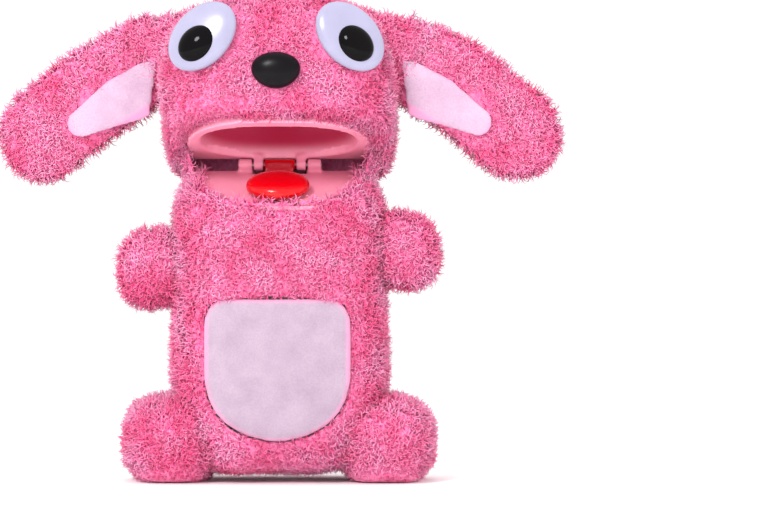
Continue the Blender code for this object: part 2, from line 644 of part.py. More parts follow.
def make_head(bore):
    rim = half_space("head_rim", HINGE + head_turn @ Vector((0, 0, HEAD_RIM)), -HEAD_LIFT, -1)
    cover = piece("head_cover", head_blob(0), HEAD_CENTRE, PINK_PLUSH, head)
    cut(cover, tool("head_hollow", head_blob(-SKIN), HEAD_CENTRE), rim)

    filling = piece("head_stuffing", head_blob(-SKIN - GAP), HEAD_CENTRE, FILLING, head)
    top = PALATE_LEVEL + PALATE_THICK + 0.5 * MM
    high = box(Vector((200, 200, 200)) * MM, Vector((0, 0, top - 100 * MM)))
    cut(filling, tool("palate_room", high, HINGE, head_turn))

    for name, place, turn in stem_places():
        hole = rod(STEM_RADIUS + RUN, 30 * MM, "Y", Vector((0, 2, 0)) * MM)
        room = rod(WASHER_RADIUS + 0.6 * MM, 12 * MM, "Y", Vector((0, 11, 0)) * MM)
        cut(cover, tool(f"{name}_hole", hole, place, turn))
        cut(filling, tool(f"{name}_room", room, place, turn),
            tool(f"{name}_hole_inner", rod(STEM_RADIUS + RUN, 30 * MM, "Y"), place, turn))


def stem(name, place, turn, length):
    bm = rod(STEM_RADIUS, length, "Y", (0, length / 2, 0), 12)
    return tool(f"{name}_stem", bm, place, turn)


def washer(name, place, turn, depth):
    ring = piece(name, rod(WASHER_RADIUS, WASHER_THICK, "Y", (0, depth, 0), 20), place,
                 WHITE_PLASTIC, head, turn)
    hole = rod(STEM_RADIUS + RUN, 8 * MM, "Y", (0, depth, 0), 12)
    return cut(ring, tool(f"{name}_hole", hole, place, turn))


def make_face():
    """Eyes and nose: moulded domes whose stems pass the cover and lock in washers."""
    for name, place, turn in stem_places():
        if name == "nose":
            bm = blob(NOSE_HALF, (2.2, 2), "Y", 24, 12)
            for vert in bm.verts:
                vert.co.x *= 1 + 0.22 * vert.co.z / NOSE_HALF.z
            nose = piece("nose", bm, place, BLACK_GLOSS, head)
            cut(nose, tool("nose_back", head_blob(GAP + 0.1 * MM), HEAD_CENTRE))
            join(nose, stem(name, place + Vector((0, -2 * MM, 0)), turn, 14 * MM))
            washer("nose_washer", place, turn, 6.5 * MM)
            continue
        flank = -1 if name.startswith("left") else 1
        lean = turn @ Matrix.Rotation(-flank * EYE_LEAN, 4, "Y")
        white = piece(f"{name}_white", blob(EYE_HALF, (2, 2), "Y", 28, 12), place, WHITE_PLASTIC, head, lean)
        back = box(Vector((60, 20, 60)) * MM, Vector((0, 10.35, 0)) * MM)
        cut(white, tool(f"{name}_flat", back, place, turn))
        shift = turn @ Vector((flank * PUPIL_SHIFT.x, PUPIL_SHIFT.y, PUPIL_SHIFT.z))
        pupil = piece(f"{name}_pupil", blob(PUPIL_HALF, (2, 2), "Y", 24, 12), place + shift,
                      BLACK_GLOSS, head, turn)
        seat = blob(EYE_HALF + Vector((GAP, GAP, GAP)), (2, 2), "Y", 28, 12)
        cut(pupil, tool(f"{name}_seat", seat, place, lean))
        join(white, stem(name, place + turn @ Vector((0, -0.6 * MM, 0)), turn, 15 * MM))
        washer(f"{name}_washer", place, turn, 10 * MM)


shared_bore = hinge_bore()
make_lower_jaw(shared_bore)
make_upper_jaw(shared_bore)
make_tongue(shared_bore)
make_hinge_pin()
make_trigger()
make_link()
make_return_spring()
make_casing()
make_screws()
make_body()
make_legs()
make_arms()
make_ears()
make_head(shared_bore)
make_face()
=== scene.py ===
import bmesh
import bpy
import numpy
import json
from math import cos, hypot, pi, radians, sin, sqrt, tan
from mathutils import Matrix, Vector, noise

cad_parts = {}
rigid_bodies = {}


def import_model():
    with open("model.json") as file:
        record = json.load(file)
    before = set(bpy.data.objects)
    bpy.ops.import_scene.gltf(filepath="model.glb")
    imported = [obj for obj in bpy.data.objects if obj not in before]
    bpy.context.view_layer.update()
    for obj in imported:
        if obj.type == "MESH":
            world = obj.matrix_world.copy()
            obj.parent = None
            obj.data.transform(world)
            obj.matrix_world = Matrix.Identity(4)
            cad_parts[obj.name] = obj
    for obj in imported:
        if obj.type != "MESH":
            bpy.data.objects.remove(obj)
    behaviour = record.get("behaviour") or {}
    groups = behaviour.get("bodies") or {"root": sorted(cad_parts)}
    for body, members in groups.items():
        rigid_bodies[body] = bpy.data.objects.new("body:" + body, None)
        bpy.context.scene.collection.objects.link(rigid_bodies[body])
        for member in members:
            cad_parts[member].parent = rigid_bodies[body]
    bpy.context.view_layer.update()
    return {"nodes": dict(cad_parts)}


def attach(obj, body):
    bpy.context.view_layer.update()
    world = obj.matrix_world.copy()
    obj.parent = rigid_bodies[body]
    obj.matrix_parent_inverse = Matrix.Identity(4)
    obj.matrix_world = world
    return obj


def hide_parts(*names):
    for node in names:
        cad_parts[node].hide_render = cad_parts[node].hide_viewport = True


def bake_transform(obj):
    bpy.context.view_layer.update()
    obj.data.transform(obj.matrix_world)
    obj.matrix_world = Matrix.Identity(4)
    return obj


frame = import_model()
mm = 0.001


# the whole puppet is built around the mouth's hinge
hinge = Vector((0, 9, 128)) * mm
slopes = {"palate": radians(16), "jaw": radians(22)}    # up and down from the hinge to the front
headTurn = Matrix.Rotation(-slopes["palate"], 4, "X")
jawTurn = Matrix.Rotation(slopes["jaw"], 4, "X")
flanks = {"left": -1, "right": 1}


def linear(hexCode):
    parts = [int(hexCode[k:k + 2], 16) / 255 for k in (0, 2, 4)]
    return tuple(p / 12.92 if p <= 0.04045 else ((p + 0.055) / 1.055) ** 2.4 for p in parts) + (1.0,)


def addNode(tree, kind, inputs=None, **settings):
    node = tree.nodes.new(kind)
    for key, value in settings.items():
        setattr(node, key, value)
    for key, value in (inputs or {}).items():
        if isinstance(value, bpy.types.NodeSocket):
            tree.links.new(value, node.inputs[key])
        else:
            node.inputs[key].default_value = value
    return node


def newMaterial(name, roughness, **shader):
    material = bpy.data.materials.new(name)
    material.use_nodes = True
    tree = material.node_tree
    principled = tree.nodes["Principled BSDF"]
    principled.inputs["Roughness"].default_value = roughness
    for key, value in shader.items():
        principled.inputs[key.replace("_", " ")].default_value = value
    return material, tree, principled


def ramp(tree, factor, stops):
    node = addNode(tree, "ShaderNodeValToRGB", {"Fac": factor})
    while len(node.color_ramp.elements) < len(stops):
        node.color_ramp.elements.new(0.5)
    for element, (place, colour) in zip(node.color_ramp.elements, stops):
        element.position = place
        element.color = linear(colour)
    return node.outputs["Color"]


def mixColour(tree, factor, first, second, how="MIX"):
    node = addNode(tree, "ShaderNodeMix", {0: factor, 6: first, 7: second}, data_type="RGBA",
                   blend_type=how)
    return node.outputs[2]


def grain(tree, size, detail=2.0, rough=0.5):
    where = addNode(tree, "ShaderNodeTexCoord").outputs["Object"]
    node = addNode(tree, "ShaderNodeTexNoise", {"Vector": where, "Scale": 1 / size, "Detail": detail,
                                                "Roughness": rough})
    return node.outputs["Fac"]


def bump(tree, principled, height, strength, distance):
    node = addNode(tree, "ShaderNodeBump", {"Height": height, "Strength": strength, "Distance": distance})
    tree.links.new(node.outputs["Normal"], principled.inputs["Normal"])


# polyester long-pile plush: painted highlight makes the tips pale where they catch light, painted shade makes
# the roots deep pink down between the locks
plushColours = {"root": "EA3F88", "middle": "FF88BE", "tip": "FFC2DC", "deepPatch": "FF84B6",
                "palePatch": "FFFFFF"}


def makePlush():
    material, tree, principled = newMaterial("plushPile", 0.62, Sheen_Weight=0.25, Sheen_Roughness=0.4,
                                             Specular_IOR_Level=0.35)
    along = addNode(tree, "ShaderNodeAttribute", attribute_name="along").outputs["Fac"]
    tone = addNode(tree, "ShaderNodeAttribute", attribute_name="tone").outputs["Fac"]
    # painted shade at the roots and painted highlight at the tips, laid along each strand by the 'along'
    # attribute
    lock = ramp(tree, along, [(0.0, plushColours["root"]), (0.45, plushColours["middle"]),
                              (1.0, plushColours["tip"])])
    patches = ramp(tree, grain(tree, 14 * mm, 3.0), [(0.38, plushColours["deepPatch"]),
                                                    (0.62, plushColours["palePatch"])])
    patched = mixColour(tree, 0.75, lock, patches, "MULTIPLY")
    shade = ramp(tree, tone, [(0.3, "F0AACB"), (0.55, "FFFFFF")])
    tree.links.new(mixColour(tree, 0.7, patched, shade, "MULTIPLY"), principled.inputs["Base Color"])
    # light scatters between the fibres, so a lock is shaded mostly as the ground below it faces
    ground = addNode(tree, "ShaderNodeAttribute", attribute_name="ground").outputs["Vector"]
    turned = addNode(tree, "ShaderNodeVectorTransform", {"Vector": ground}, vector_type="NORMAL",
                     convert_from="OBJECT", convert_to="WORLD").outputs["Vector"]
    own = addNode(tree, "ShaderNodeNewGeometry").outputs["Normal"]
    soft = addNode(tree, "ShaderNodeMix", {0: 0.6, 4: own, 5: turned}, data_type="VECTOR").outputs[1]
    facing = addNode(tree, "ShaderNodeVectorMath", {0: soft}, operation="NORMALIZE").outputs[0]
    tree.links.new(facing, principled.inputs["Normal"])
    return material


# knitted polyester ground that the pile stands on, dyed the same pink, with painted shade making it darker as
# it lies under the pile
def makeBacking():
    material, tree, principled = newMaterial("plushGround", 0.95, Sheen_Weight=0.3)
    colour = ramp(tree, grain(tree, 1.6 * mm, 3.0), [(0.35, "F0649B"), (0.65, "FA86B5")])
    tree.links.new(colour, principled.inputs["Base Color"])
    bump(tree, principled, grain(tree, 0.9 * mm), 0.6, 0.4 * mm)
    return material


# short brushed velboa: lilac white, matt, faint clouding where the nap lies differently
def makeVelboa(name, pale, deep):
    material, tree, principled = newMaterial(name, 0.85, Sheen_Weight=0.3, Sheen_Roughness=0.5)
    clouds = ramp(tree, grain(tree, 9 * mm, 4.0), [(0.3, deep), (0.7, pale)])
    rim = addNode(tree, "ShaderNodeAttribute", attribute_name="rim").outputs["Fac"]
    speck = ramp(tree, grain(tree, 0.7 * mm, 2.0), [(0.3, "EFE6F2"), (0.7, "FFFFFF")])
    nap = mixColour(tree, 0.7, clouds, speck, "MULTIPLY")
    tree.links.new(mixColour(tree, rim, nap, linear("D88FB6")), principled.inputs["Base Color"])
    bump(tree, principled, grain(tree, 0.8 * mm, 3.0), 0.5, 0.35 * mm)
    return material


# moulded satin plastic, PVC-like: soft broad highlight, very slight flow clouding
def makePlastic(name, pale, deep, roughness, size, paintedShade=None, **shader):
    material, tree, principled = newMaterial(name, roughness, **shader)
    colour = ramp(tree, grain(tree, size, 3.0), [(0.3, deep), (0.7, pale)])
    if paintedShade:
        # painted shade: the colour is mixed toward the given darker colour as far as the 'depth' attribute
        # goes
        depth = addNode(tree, "ShaderNodeAttribute", attribute_name="depth").outputs["Fac"]
        colour = mixColour(tree, depth, colour, linear(paintedShade))
    tree.links.new(colour, principled.inputs["Base Color"])
    bump(tree, principled, grain(tree, 0.5 * mm, 2.0), 0.12, 0.05 * mm)
    return material


# zinc-plated drawn steel: the drawing marks drag the highlight out along one way
def makeSteel():
    material, tree, principled = newMaterial("drawnSteel", 0.3, Metallic=1.0)
    where = addNode(tree, "ShaderNodeTexCoord").outputs["Object"]
    stretched = addNode(tree, "ShaderNodeMapping", {"Vector": where, "Scale": (300, 6000, 6000)})
    marks = addNode(tree, "ShaderNodeTexNoise", {"Vector": stretched.outputs["Vector"], "Scale": 1.0,
                                                 "Detail": 2.0}).outputs["Fac"]
    colour = ramp(tree, marks, [(0.3, "A9A9AC"), (0.7, "CBCBCE")])
    tree.links.new(colour, principled.inputs["Base Color"])
    bump(tree, principled, marks, 0.2, 0.03 * mm)
    return material


# siliconised polyester fibre, white and matted
def makeFilling():
    material, tree, principled = newMaterial("polyesterFill", 1.0, Sheen_Weight=0.6)
    colour = ramp(tree, grain(tree, 5 * mm, 8.0, 0.7), [(0.35, "CFCFCB"), (0.65, "F4F4F1")])
    tree.links.new(colour, principled.inputs["Base Color"])
    bump(tree, principled, grain(tree, 3 * mm, 8.0, 0.7), 1.0, 1.5 * mm)
    return material


plush = makePlush()
backing = makeBacking()
velboaBelly = makeVelboa("velboaBelly", "AE9BAA", "A08D9D")
velboaEar = makeVelboa("velboaEar", "C6A9BE", "B99AB0")
# A42345 is painted shade for the deep vault of the palate
jawPlastic = makePlastic("satinPvcPink", "F39AB4", "EA8BA8", 0.38, 20 * mm, paintedShade="A42345",
                         Coat_Weight=0.15, Coat_Roughness=0.3)
tonguePlastic = makePlastic("glossyPvcRed", "CE000D", "C0000A", 0.24, 15 * mm, Coat_Weight=0.15,
                            Coat_Roughness=0.12, Specular_IOR_Level=0.35)
whitePlastic = makePlastic("polishedStyreneWhite", "9C99B3", "9491AB", 0.24, 12 * mm, Coat_Weight=0.15,
                           Coat_Roughness=0.1)
blackPlastic = makePlastic("polishedStyreneBlack", "0A0809", "060406", 0.08, 12 * mm,
                           Specular_IOR_Level=0.1)
nosePlastic = makePlastic("satinStyreneBlack", "0C080C", "070507", 0.30, 12 * mm,
                          Specular_IOR_Level=0.14)
greyPlastic = makePlastic("mouldedAbsGrey", "B9BABD", "ACADB1", 0.45, 10 * mm)
washerPlastic = makePlastic("mouldedNylonWhite", "E6E4DF", "DCDAD4", 0.5, 8 * mm)
steel = makeSteel()
filling = makeFilling()
print("materials made")


# the nodes of the model that keep their shape, by finish
carried = [
    (greyPlastic, ("front_casing", "rear_casing", "link_rod")),
    (jawPlastic, ("belly_trigger",)),
    (steel, ("return_spring", "mouth_hinge_pin", "trigger_pivot_pin", "crank_pin", "link_lower_pin",
             "casing_screw_1", "casing_screw_2", "casing_screw_3", "casing_screw_4", "jaw_screw_left",
             "jaw_screw_right")),
    (washerPlastic, ("nose_washer", "left_eye_washer", "right_eye_washer")),
    (filling, ("body_stuffing", "head_stuffing"))]
for material, nodeNames in carried:
    for nodeName in nodeNames:
        for place in frame["nodes"][nodeName].material_slots:
            place.material = material


def finished(name, bm, material):
    bmesh.ops.recalc_face_normals(bm, faces=bm.faces)
    mesh = bpy.data.meshes.new(name)
    bm.to_mesh(mesh)
    bm.free()
    obj = bpy.data.objects.new(name, mesh)
    bpy.context.scene.collection.objects.link(obj)
    mesh.materials.append(material)
    smoothAll(mesh)
    return obj


def smoothAll(mesh):
    mesh.polygons.foreach_set("use_smooth", [True] * len(mesh.polygons))


# after a remesh the finish is put back on its only slot
def refinish(obj, material):
    obj.data.materials.clear()
    obj.data.materials.append(material)


def applied(obj):
    mesh = bpy.data.meshes.new_from_object(obj.evaluated_get(bpy.context.evaluated_depsgraph_get()))
    obj.modifiers.clear()
    obj.data = mesh
    return obj


def nodeCopy(name, nodeName, material):
    bm = bmesh.new()
    bm.from_mesh(frame["nodes"][nodeName].data)
    bmesh.ops.remove_doubles(bm, verts=bm.verts, dist=0.001 * mm)
    return finished(name, bm, material)


def moulded(obj, voxel, smoothing):
    remesh = obj.modifiers.new("remesh", "REMESH")
    remesh.mode, remesh.voxel_size, remesh.use_smooth_shade = "VOXEL", voxel, True
    soften = obj.modifiers.new("soften", "SMOOTH")
    soften.iterations, soften.factor = smoothing, 0.5
    material = obj.data.materials[0]
    applied(obj)
    refinish(obj, material)
    smoothAll(obj.data)
    return obj


# keeps the sign
def power(value, exponent):
    return abs(value) ** exponent * (1 if value >= 0 else -1)


# a ball squared off: powers of 2 leave it round, higher ones make a block
def roundedBlock(centre, half, powers, pole="Z", around=96, along=48):
    bm = bmesh.new()
    bmesh.ops.create_uvsphere(bm, u_segments=around, v_segments=along, radius=1)
    for vert in bm.verts:
        flat = hypot(vert.co.x, vert.co.y)
        ring = flat ** (2 / powers[0])
        side = [power(v / flat, 2 / powers[1]) * ring if flat > 1e-6 else 0 for v in vert.co.xy]
        vert.co = (side[0], side[1], power(vert.co.z, 2 / powers[0]))
    if pole == "Y":
        bmesh.ops.rotate(bm, cent=(0, 0, 0), matrix=Matrix.Rotation(pi / 2, 3, "X"), verts=bm.verts)
    bmesh.ops.scale(bm, vec=half, verts=bm.verts)
    bmesh.ops.translate(bm, vec=centre, verts=bm.verts)
    return bm


def bisect(bm, point, tilt, keepAbove):
    normal = Matrix.Rotation(tilt, 3, "X") @ Vector((0, 0, 1))
    bmesh.ops.bisect_plane(bm, geom=list(bm.verts) + list(bm.edges) + list(bm.faces), plane_co=point,
                           plane_no=normal, clear_inner=keepAbove, clear_outer=not keepAbove)


def smoothStep(low, high, value):
    t = min(max((value - low) / (high - low), 0), 1)
    return t * t * (3 - 2 * t)


def lumps(bm, amount, size):
    bm.normal_update()
    shifts = [v.normal * noise.noise(v.co / size) * amount for v in bm.verts]
    for vert, shift in zip(bm.verts, shifts):
        vert.co += shift


# pile: locks of curled strands, sown over the skins with a Geometry Nodes tree
pileSettings = {"spacing": 1.3 * mm, "length": 5.4 * mm, "strandRadius": 0.22 * mm, "strands": 4,
                "curl": 2.1, "wander": 2.2, "whorlSize": 5 * mm, "variants": 6, "density": 2.0e6,
                "stray": 0.75, "table": 0.2 * mm}


def makeLock(number):
    bm = bmesh.new()
    along = bm.verts.layers.float.new("along")
    tone = bm.verts.layers.float.new("tone")
    for strand in range(pileSettings["strands"]):
        seed = Vector((number * 3.7, strand * 5.3, 1.9))
        turn = noise.noise(seed) * 2 + strand * 2 * pi / pileSettings["strands"]
        length = pileSettings["length"] * (0.8 + 0.6 * abs(noise.noise(seed + Vector((9, 0, 0)))))
        curl = pileSettings["curl"] * (0.6 + 1.1 * abs(noise.noise(seed + Vector((0, 9, 0)))))
        bend = turn + 2.2 * noise.noise(seed + Vector((0, 0, 9)))
        shade = 0.5 + 0.5 * noise.noise(seed * 2.3)
        where, angle = Vector((cos(turn), sin(turn), -0.6)) * 0.5 * mm, 0.15
        rings = []
        for step in range(4):
            radius = pileSettings["strandRadius"] * (0.9, 1.1, 0.8, 0.0)[step]
            out = Vector((cos(bend), sin(bend), 0))
            across = Vector((-sin(bend), cos(bend), 0))
            heading = out * sin(angle) + Vector((0, 0, cos(angle)))
            up = heading.cross(across)
            corners = (0.3, 0.3 + 2 * pi / 3, 0.3 + 4 * pi / 3)
            spots = [where] if step == 3 else [
                where + (across * cos(a) + up * sin(a)) * radius for a in corners]
            ring = [bm.verts.new(spot) for spot in spots]
            for vert in ring:
                vert[along] = step / 3
                vert[tone] = shade
            rings.append(ring)
            angle += curl / 3
            bend += 0.5
            where = where + heading * length / 3
        for low, high in zip(rings[:2], rings[1:3]):
            for k in range(3):
                bm.faces.new((low[k], low[(k + 1) % 3], high[(k + 1) % 3], high[k]))
        for k in range(3):
            bm.faces.new((rings[2][k], rings[2][(k + 1) % 3], rings[3][0]))
        bm.faces.new(rings[0][::-1])
    return finished(f"lock{number}", bm, plush)


lockCollection = bpy.data.collections.new("locks")
for number in range(pileSettings["variants"]):
    lock = makeLock(number)
    bpy.context.scene.collection.objects.unlink(lock)
    lockCollection.objects.link(lock)


def makePileTree():
    tree = bpy.data.node_groups.new("sownPile", "GeometryNodeTree")
    sockets = {}
    for name, kind in (("Skin", "NodeSocketGeometry"), ("Locks", "NodeSocketCollection"),
                       ("Spacing", "NodeSocketFloat"), ("Wander", "NodeSocketFloat"),
                       ("Whorl size", "NodeSocketFloat"), ("Seed", "NodeSocketInt"),
                       ("Finish", "NodeSocketMaterial")):
        sockets[name] = tree.interface.new_socket(name, in_out="INPUT", socket_type=kind).identifier
    tree.interface.new_socket("Pile", in_out="OUTPUT", socket_type="NodeSocketGeometry")
    given = addNode(tree, "NodeGroupInput").outputs
    pile = addNode(tree, "GeometryNodeInputNamedAttribute", {"Name": "pile"}, data_type="FLOAT").outputs[0]
    comb = addNode(tree, "GeometryNodeInputNamedAttribute", {"Name": "comb"},
                   data_type="FLOAT_VECTOR").outputs[0]
    grown = addNode(tree, "FunctionNodeCompare", {0: pile, 1: 0.05}, operation="GREATER_THAN").outputs[0]
    sown = addNode(tree, "GeometryNodeDistributePointsOnFaces",
                   {"Mesh": given["Skin"], "Selection": grown, "Distance Min": given["Spacing"],
                    "Density Max": pileSettings["density"], "Seed": given["Seed"]},
                   distribute_method="POISSON")
    position = addNode(tree, "GeometryNodeInputPosition").outputs[0]
    scale = addNode(tree, "ShaderNodeMath", {0: 1.0, 1: given["Whorl size"]}, operation="DIVIDE").outputs[0]
    whorl = addNode(tree, "ShaderNodeTexNoise", {"Vector": position, "Scale": scale, "Detail": 1.0})
    centred = addNode(tree, "ShaderNodeVectorMath", {0: whorl.outputs["Color"], 1: (0.5, 0.5, 0.5)},
                      operation="SUBTRACT").outputs[0]
    wander = addNode(tree, "ShaderNodeVectorMath", {0: centred, "Scale": given["Wander"]},
                     operation="SCALE").outputs[0]
    most = pileSettings["stray"]
    stray = addNode(tree, "FunctionNodeRandomValue",
                    {0: (-most, -most, -most), 1: (most, most, most), "Seed": given["Seed"]},
                    data_type="FLOAT_VECTOR").outputs[0]
    lean = addNode(tree, "ShaderNodeVectorMath", {0: wander, 1: stray}, operation="ADD").outputs[0]
    combed = addNode(tree, "ShaderNodeVectorMath", {0: lean, 1: comb}, operation="ADD").outputs[0]
    stand = addNode(tree, "ShaderNodeVectorMath", {0: sown.outputs["Normal"], 1: combed},
                    operation="ADD").outputs[0]
    aligned = addNode(tree, "FunctionNodeAlignRotationToVector", {"Vector": stand}, axis="Z").outputs[0]
    swirl = addNode(tree, "ShaderNodeMath", {0: whorl.outputs["Fac"], 1: 14.0},
                    operation="MULTIPLY").outputs[0]
    jitter = addNode(tree, "FunctionNodeRandomValue", {2: 0.0, 3: 2.6, "Seed": given["Seed"]},
                     data_type="FLOAT").outputs[1]
    spin = addNode(tree, "ShaderNodeMath", {0: swirl, 1: jitter}, operation="ADD").outputs[0]
    turned = addNode(tree, "ShaderNodeCombineXYZ", {"Z": spin}).outputs[0]
    rotation = addNode(tree, "FunctionNodeRotateRotation", {0: aligned, 1: turned},
                       rotation_space="LOCAL").outputs[0]
    size = addNode(tree, "FunctionNodeRandomValue", {2: 0.72, 3: 1.2, "Seed": given["Seed"]},
                   data_type="FLOAT").outputs[1]
    tall = addNode(tree, "ShaderNodeMath", {0: size, 1: pile}, operation="MULTIPLY").outputs[0]
    wide = addNode(tree, "ShaderNodeClamp", {"Value": tall, "Min": 0.62, "Max": 1.05}).outputs[0]
    sized = addNode(tree, "ShaderNodeCombineXYZ", {"X": wide, "Y": wide, "Z": tall}).outputs[0]
    which = addNode(tree, "FunctionNodeRandomValue", {4: 0, 5: pileSettings["variants"] - 1,
                                                      "Seed": given["Seed"]}, data_type="INT").outputs[2]
    kinds = addNode(tree, "GeometryNodeCollectionInfo", {0: given["Locks"], 1: True, 2: True}).outputs[0]
    planted = addNode(tree, "GeometryNodeInstanceOnPoints",
                      {"Points": sown.outputs["Points"], "Instance": kinds, "Pick Instance": True,
                       "Instance Index": which, "Rotation": rotation, "Scale": sized}).outputs[0]
    marked = addNode(tree, "GeometryNodeStoreNamedAttribute",
                     {"Geometry": planted, "Name": "ground", "Value": sown.outputs["Normal"]},
                     data_type="FLOAT_VECTOR", domain="INSTANCE").outputs[0]
    real = addNode(tree, "GeometryNodeRealizeInstances", {0: marked}).outputs[0]
    dyed = addNode(tree, "GeometryNodeSetMaterial",
                   {"Geometry": real, "Material": given["Finish"]}).outputs[0]
    addNode(tree, "NodeGroupOutput", {0: dyed})
    return tree, sockets


pileTree, pileSockets = makePileTree()


everywhere = {"": lambda c: True}    # one piece of pile, not split


# how long the pile is at each point, 1 for full, and which way it leans
def paintSkin(obj, pileAt, combAt):
    mesh = obj.data
    pile = mesh.attributes.new("pile", "FLOAT", "POINT")
    comb = mesh.attributes.new("comb", "FLOAT_VECTOR", "POINT")
    for index, vert in enumerate(mesh.vertices):
        pile.data[index].value = pileAt(vert.co)
        comb.data[index].vector = combAt(vert.co)


# one mesh of pile for each named part of the skin
def growPile(name, skin, body, seed, sorts):
    made = []
    for part, chosen in sorts.items():
        bm = bmesh.new()
        bm.from_mesh(skin.data)
        away = [f for f in bm.faces if not chosen(f.calc_center_median())]
        bmesh.ops.delete(bm, geom=away, context="FACES")
        mesh = bpy.data.meshes.new("sowing")
        bm.to_mesh(mesh)
        bm.free()
        obj = bpy.data.objects.new(f"{name}{part}", mesh)
        bpy.context.scene.collection.objects.link(obj)
        grow = obj.modifiers.new("pile", "NODES")
        grow.node_group = pileTree
        values = {"Locks": lockCollection, "Spacing": pileSettings["spacing"] * 1,
                  "Wander": pileSettings["wander"], "Whorl size": pileSettings["whorlSize"], "Seed": seed,
                  "Finish": plush}
        for key, value in values.items():
            grow[pileSockets[key]] = value
        applied(obj)
        obj.data.name = obj.name
        places = numpy.empty(len(obj.data.vertices) * 3, dtype=numpy.float32)
        obj.data.vertices.foreach_get("co", places)
        places[2::3] = numpy.maximum(places[2::3], pileSettings["table"])    # pressed flat on the table
        obj.data.vertices.foreach_set("co", places)
        smoothAll(obj.data)
        triangles = sum(len(p.vertices) - 2 for p in obj.data.polygons)
        print(obj.name, "grown,", triangles, "triangles")
        if body:
            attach(obj, body)
        made.append(obj)
        seed += 1
    return made


def toShell(obj, thickness):
    wall = obj.modifiers.new("wall", "SOLIDIFY")
    wall.thickness, wall.offset = thickness, -1
    material = obj.data.materials[0]
    applied(obj)
    refinish(obj, material)
    return obj


# camera, floor and light
cameraSettings = {"lens": 150, "place": (0.0428, -1.298, 0.0868)}
cameraData = bpy.data.cameras.new("camera")
cameraData.lens = cameraSettings["lens"]
cameraData.sensor_width = 36
camera = bpy.data.objects.new("camera", cameraData)
camera.location = cameraSettings["place"]
camera.rotation_euler = (pi / 2, 0, 0)
bpy.context.scene.collection.objects.link(camera)
bpy.context.scene.camera = camera
bpy.context.scene.view_settings.view_transform = "Standard"

# a paper sweep: flat below the puppet, curved up behind it
sweep = {"front": -3.0, "bend": 1.8, "radius": 0.8, "top": 3.0, "halfWidth": 3.5}
floorBm = bmesh.new()
profile = [(sweep["front"], 0.0), (sweep["bend"], 0.0)]
for k in range(1, 13):
    angle = pi / 2 * k / 12
    profile.append((sweep["bend"] + sweep["radius"] * sin(angle), sweep["radius"] * (1 - cos(angle))))
profile.append((sweep["bend"] + sweep["radius"], sweep["top"]))
rows = [[floorBm.verts.new((x, y, z)) for y, z in profile]
        for x in (-sweep["halfWidth"], sweep["halfWidth"])]
for k in range(len(profile) - 1):
    floorBm.faces.new((rows[0][k], rows[1][k], rows[1][k + 1], rows[0][k + 1]))
paper, paperTree, paperShader = newMaterial("paperBackdrop", 0.9)
paperTree.links.new(ramp(paperTree, grain(paperTree, 0.4, 2.0), [(0.3, "F3F3F3"), (0.7, "F6F6F6")]),
                    paperShader.inputs["Base Color"])
floor = finished("floor", floorBm, paper)

world = bpy.data.worlds.new("studio")
world.use_nodes = True
world.node_tree.nodes["Background"].inputs["Color"].default_value = linear("FFFFFF")
world.node_tree.nodes["Background"].inputs["Strength"].default_value = 1.0
bpy.context.scene.world = world

lamps = {"key": {"place": (-0.45, -1.15, 0.85), "size": 0.35, "watts": 12.0},
         "fill": {"place": (1.05, -0.95, 0.45), "size": 0.9, "watts": 3.0},
         "low": {"place": (-0.15, -1.5, 0.16), "size": 0.8, "watts": 7.0},
         "sideLeft": {"place": (-1.2, 0.1, 0.3), "size": 0.8, "watts": 4.5},
         "sideRight": {"place": (1.3, 0.1, 0.3), "size": 0.8, "watts": 4.5},
         "top": {"place": (0.0, 0.1, 1.3), "size": 1.0, "watts": 5.0}}
for name, lamp in lamps.items():
    data = bpy.data.lights.new(name, "AREA")
    data.shape = "DISK"
    data.size = lamp["size"]
    data.energy = lamp["watts"]
    light = bpy.data.objects.new(name, data)
    light.location = lamp["place"]
    light.visible_glossy = name == "key"    # one clean highlight on the eyes and nose
    light.rotation_euler = (Vector((0, 0, 0.1)) - light.location).to_track_quat("-Z", "Y").to_euler()
    bpy.context.scene.collection.objects.link(light)
print("studio made")


# jaws and tongue: injection moulded, so every edge of the model gets a small radius
upperJaw = moulded(nodeCopy("palate", "upper_jaw", jawPlastic), 0.62 * mm, 5)
# painted shade: the vault of the palate is coloured darker with its depth, where the mouth's cavity lies in
# shade
depth = upperJaw.data.attributes.new("depth", "FLOAT", "POINT")
for index, vert in enumerate(upperJaw.data.vertices):
    local = headTurn.inverted() @ (vert.co - hinge)
    within = hypot(local.x / (32 * mm), (local.y + 20.5 * mm) / (20.5 * mm)) < 1 and local.z < 13.6 * mm
    depth.data[index].value = smoothStep(3.2 * mm, 9 * mm, local.z) if within else 0.0
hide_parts("upper_jaw")
lowerJaw = moulded(nodeCopy("chinPlate", "lower_jaw", jawPlastic), 0.55 * mm, 4)
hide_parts("lower_jaw")
tongue = moulded(nodeCopy("tongueMoulding", "tongue", tonguePlastic), 0.5 * mm, 7)
# the blade is fuller than the plain solid and domed on top
blade = {"halfWidth": 13 * mm, "halfLength": 12 * mm, "middle": -26.5 * mm, "crown": 2.9 * mm}
jawTurnBack = jawTurn.inverted()
for vert in tongue.data.vertices:
    local = jawTurnBack @ (vert.co - hinge)
    if local.z > 0:
        spread = hypot(local.x / blade["halfWidth"], (local.y - blade["middle"]) / blade["halfLength"])
        local.z += blade["crown"] * sqrt(max(0.0, 1 - spread * spread))
        vert.co = hinge + jawTurn @ local
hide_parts("tongue")
for obj, body, slotName in ((upperJaw, "head", "pink_plastic"), (lowerJaw, "torso", "pink_plastic"),
                            (tongue, "tongue", "red_plastic")):
    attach(obj, body)
print("mouth mouldings made")


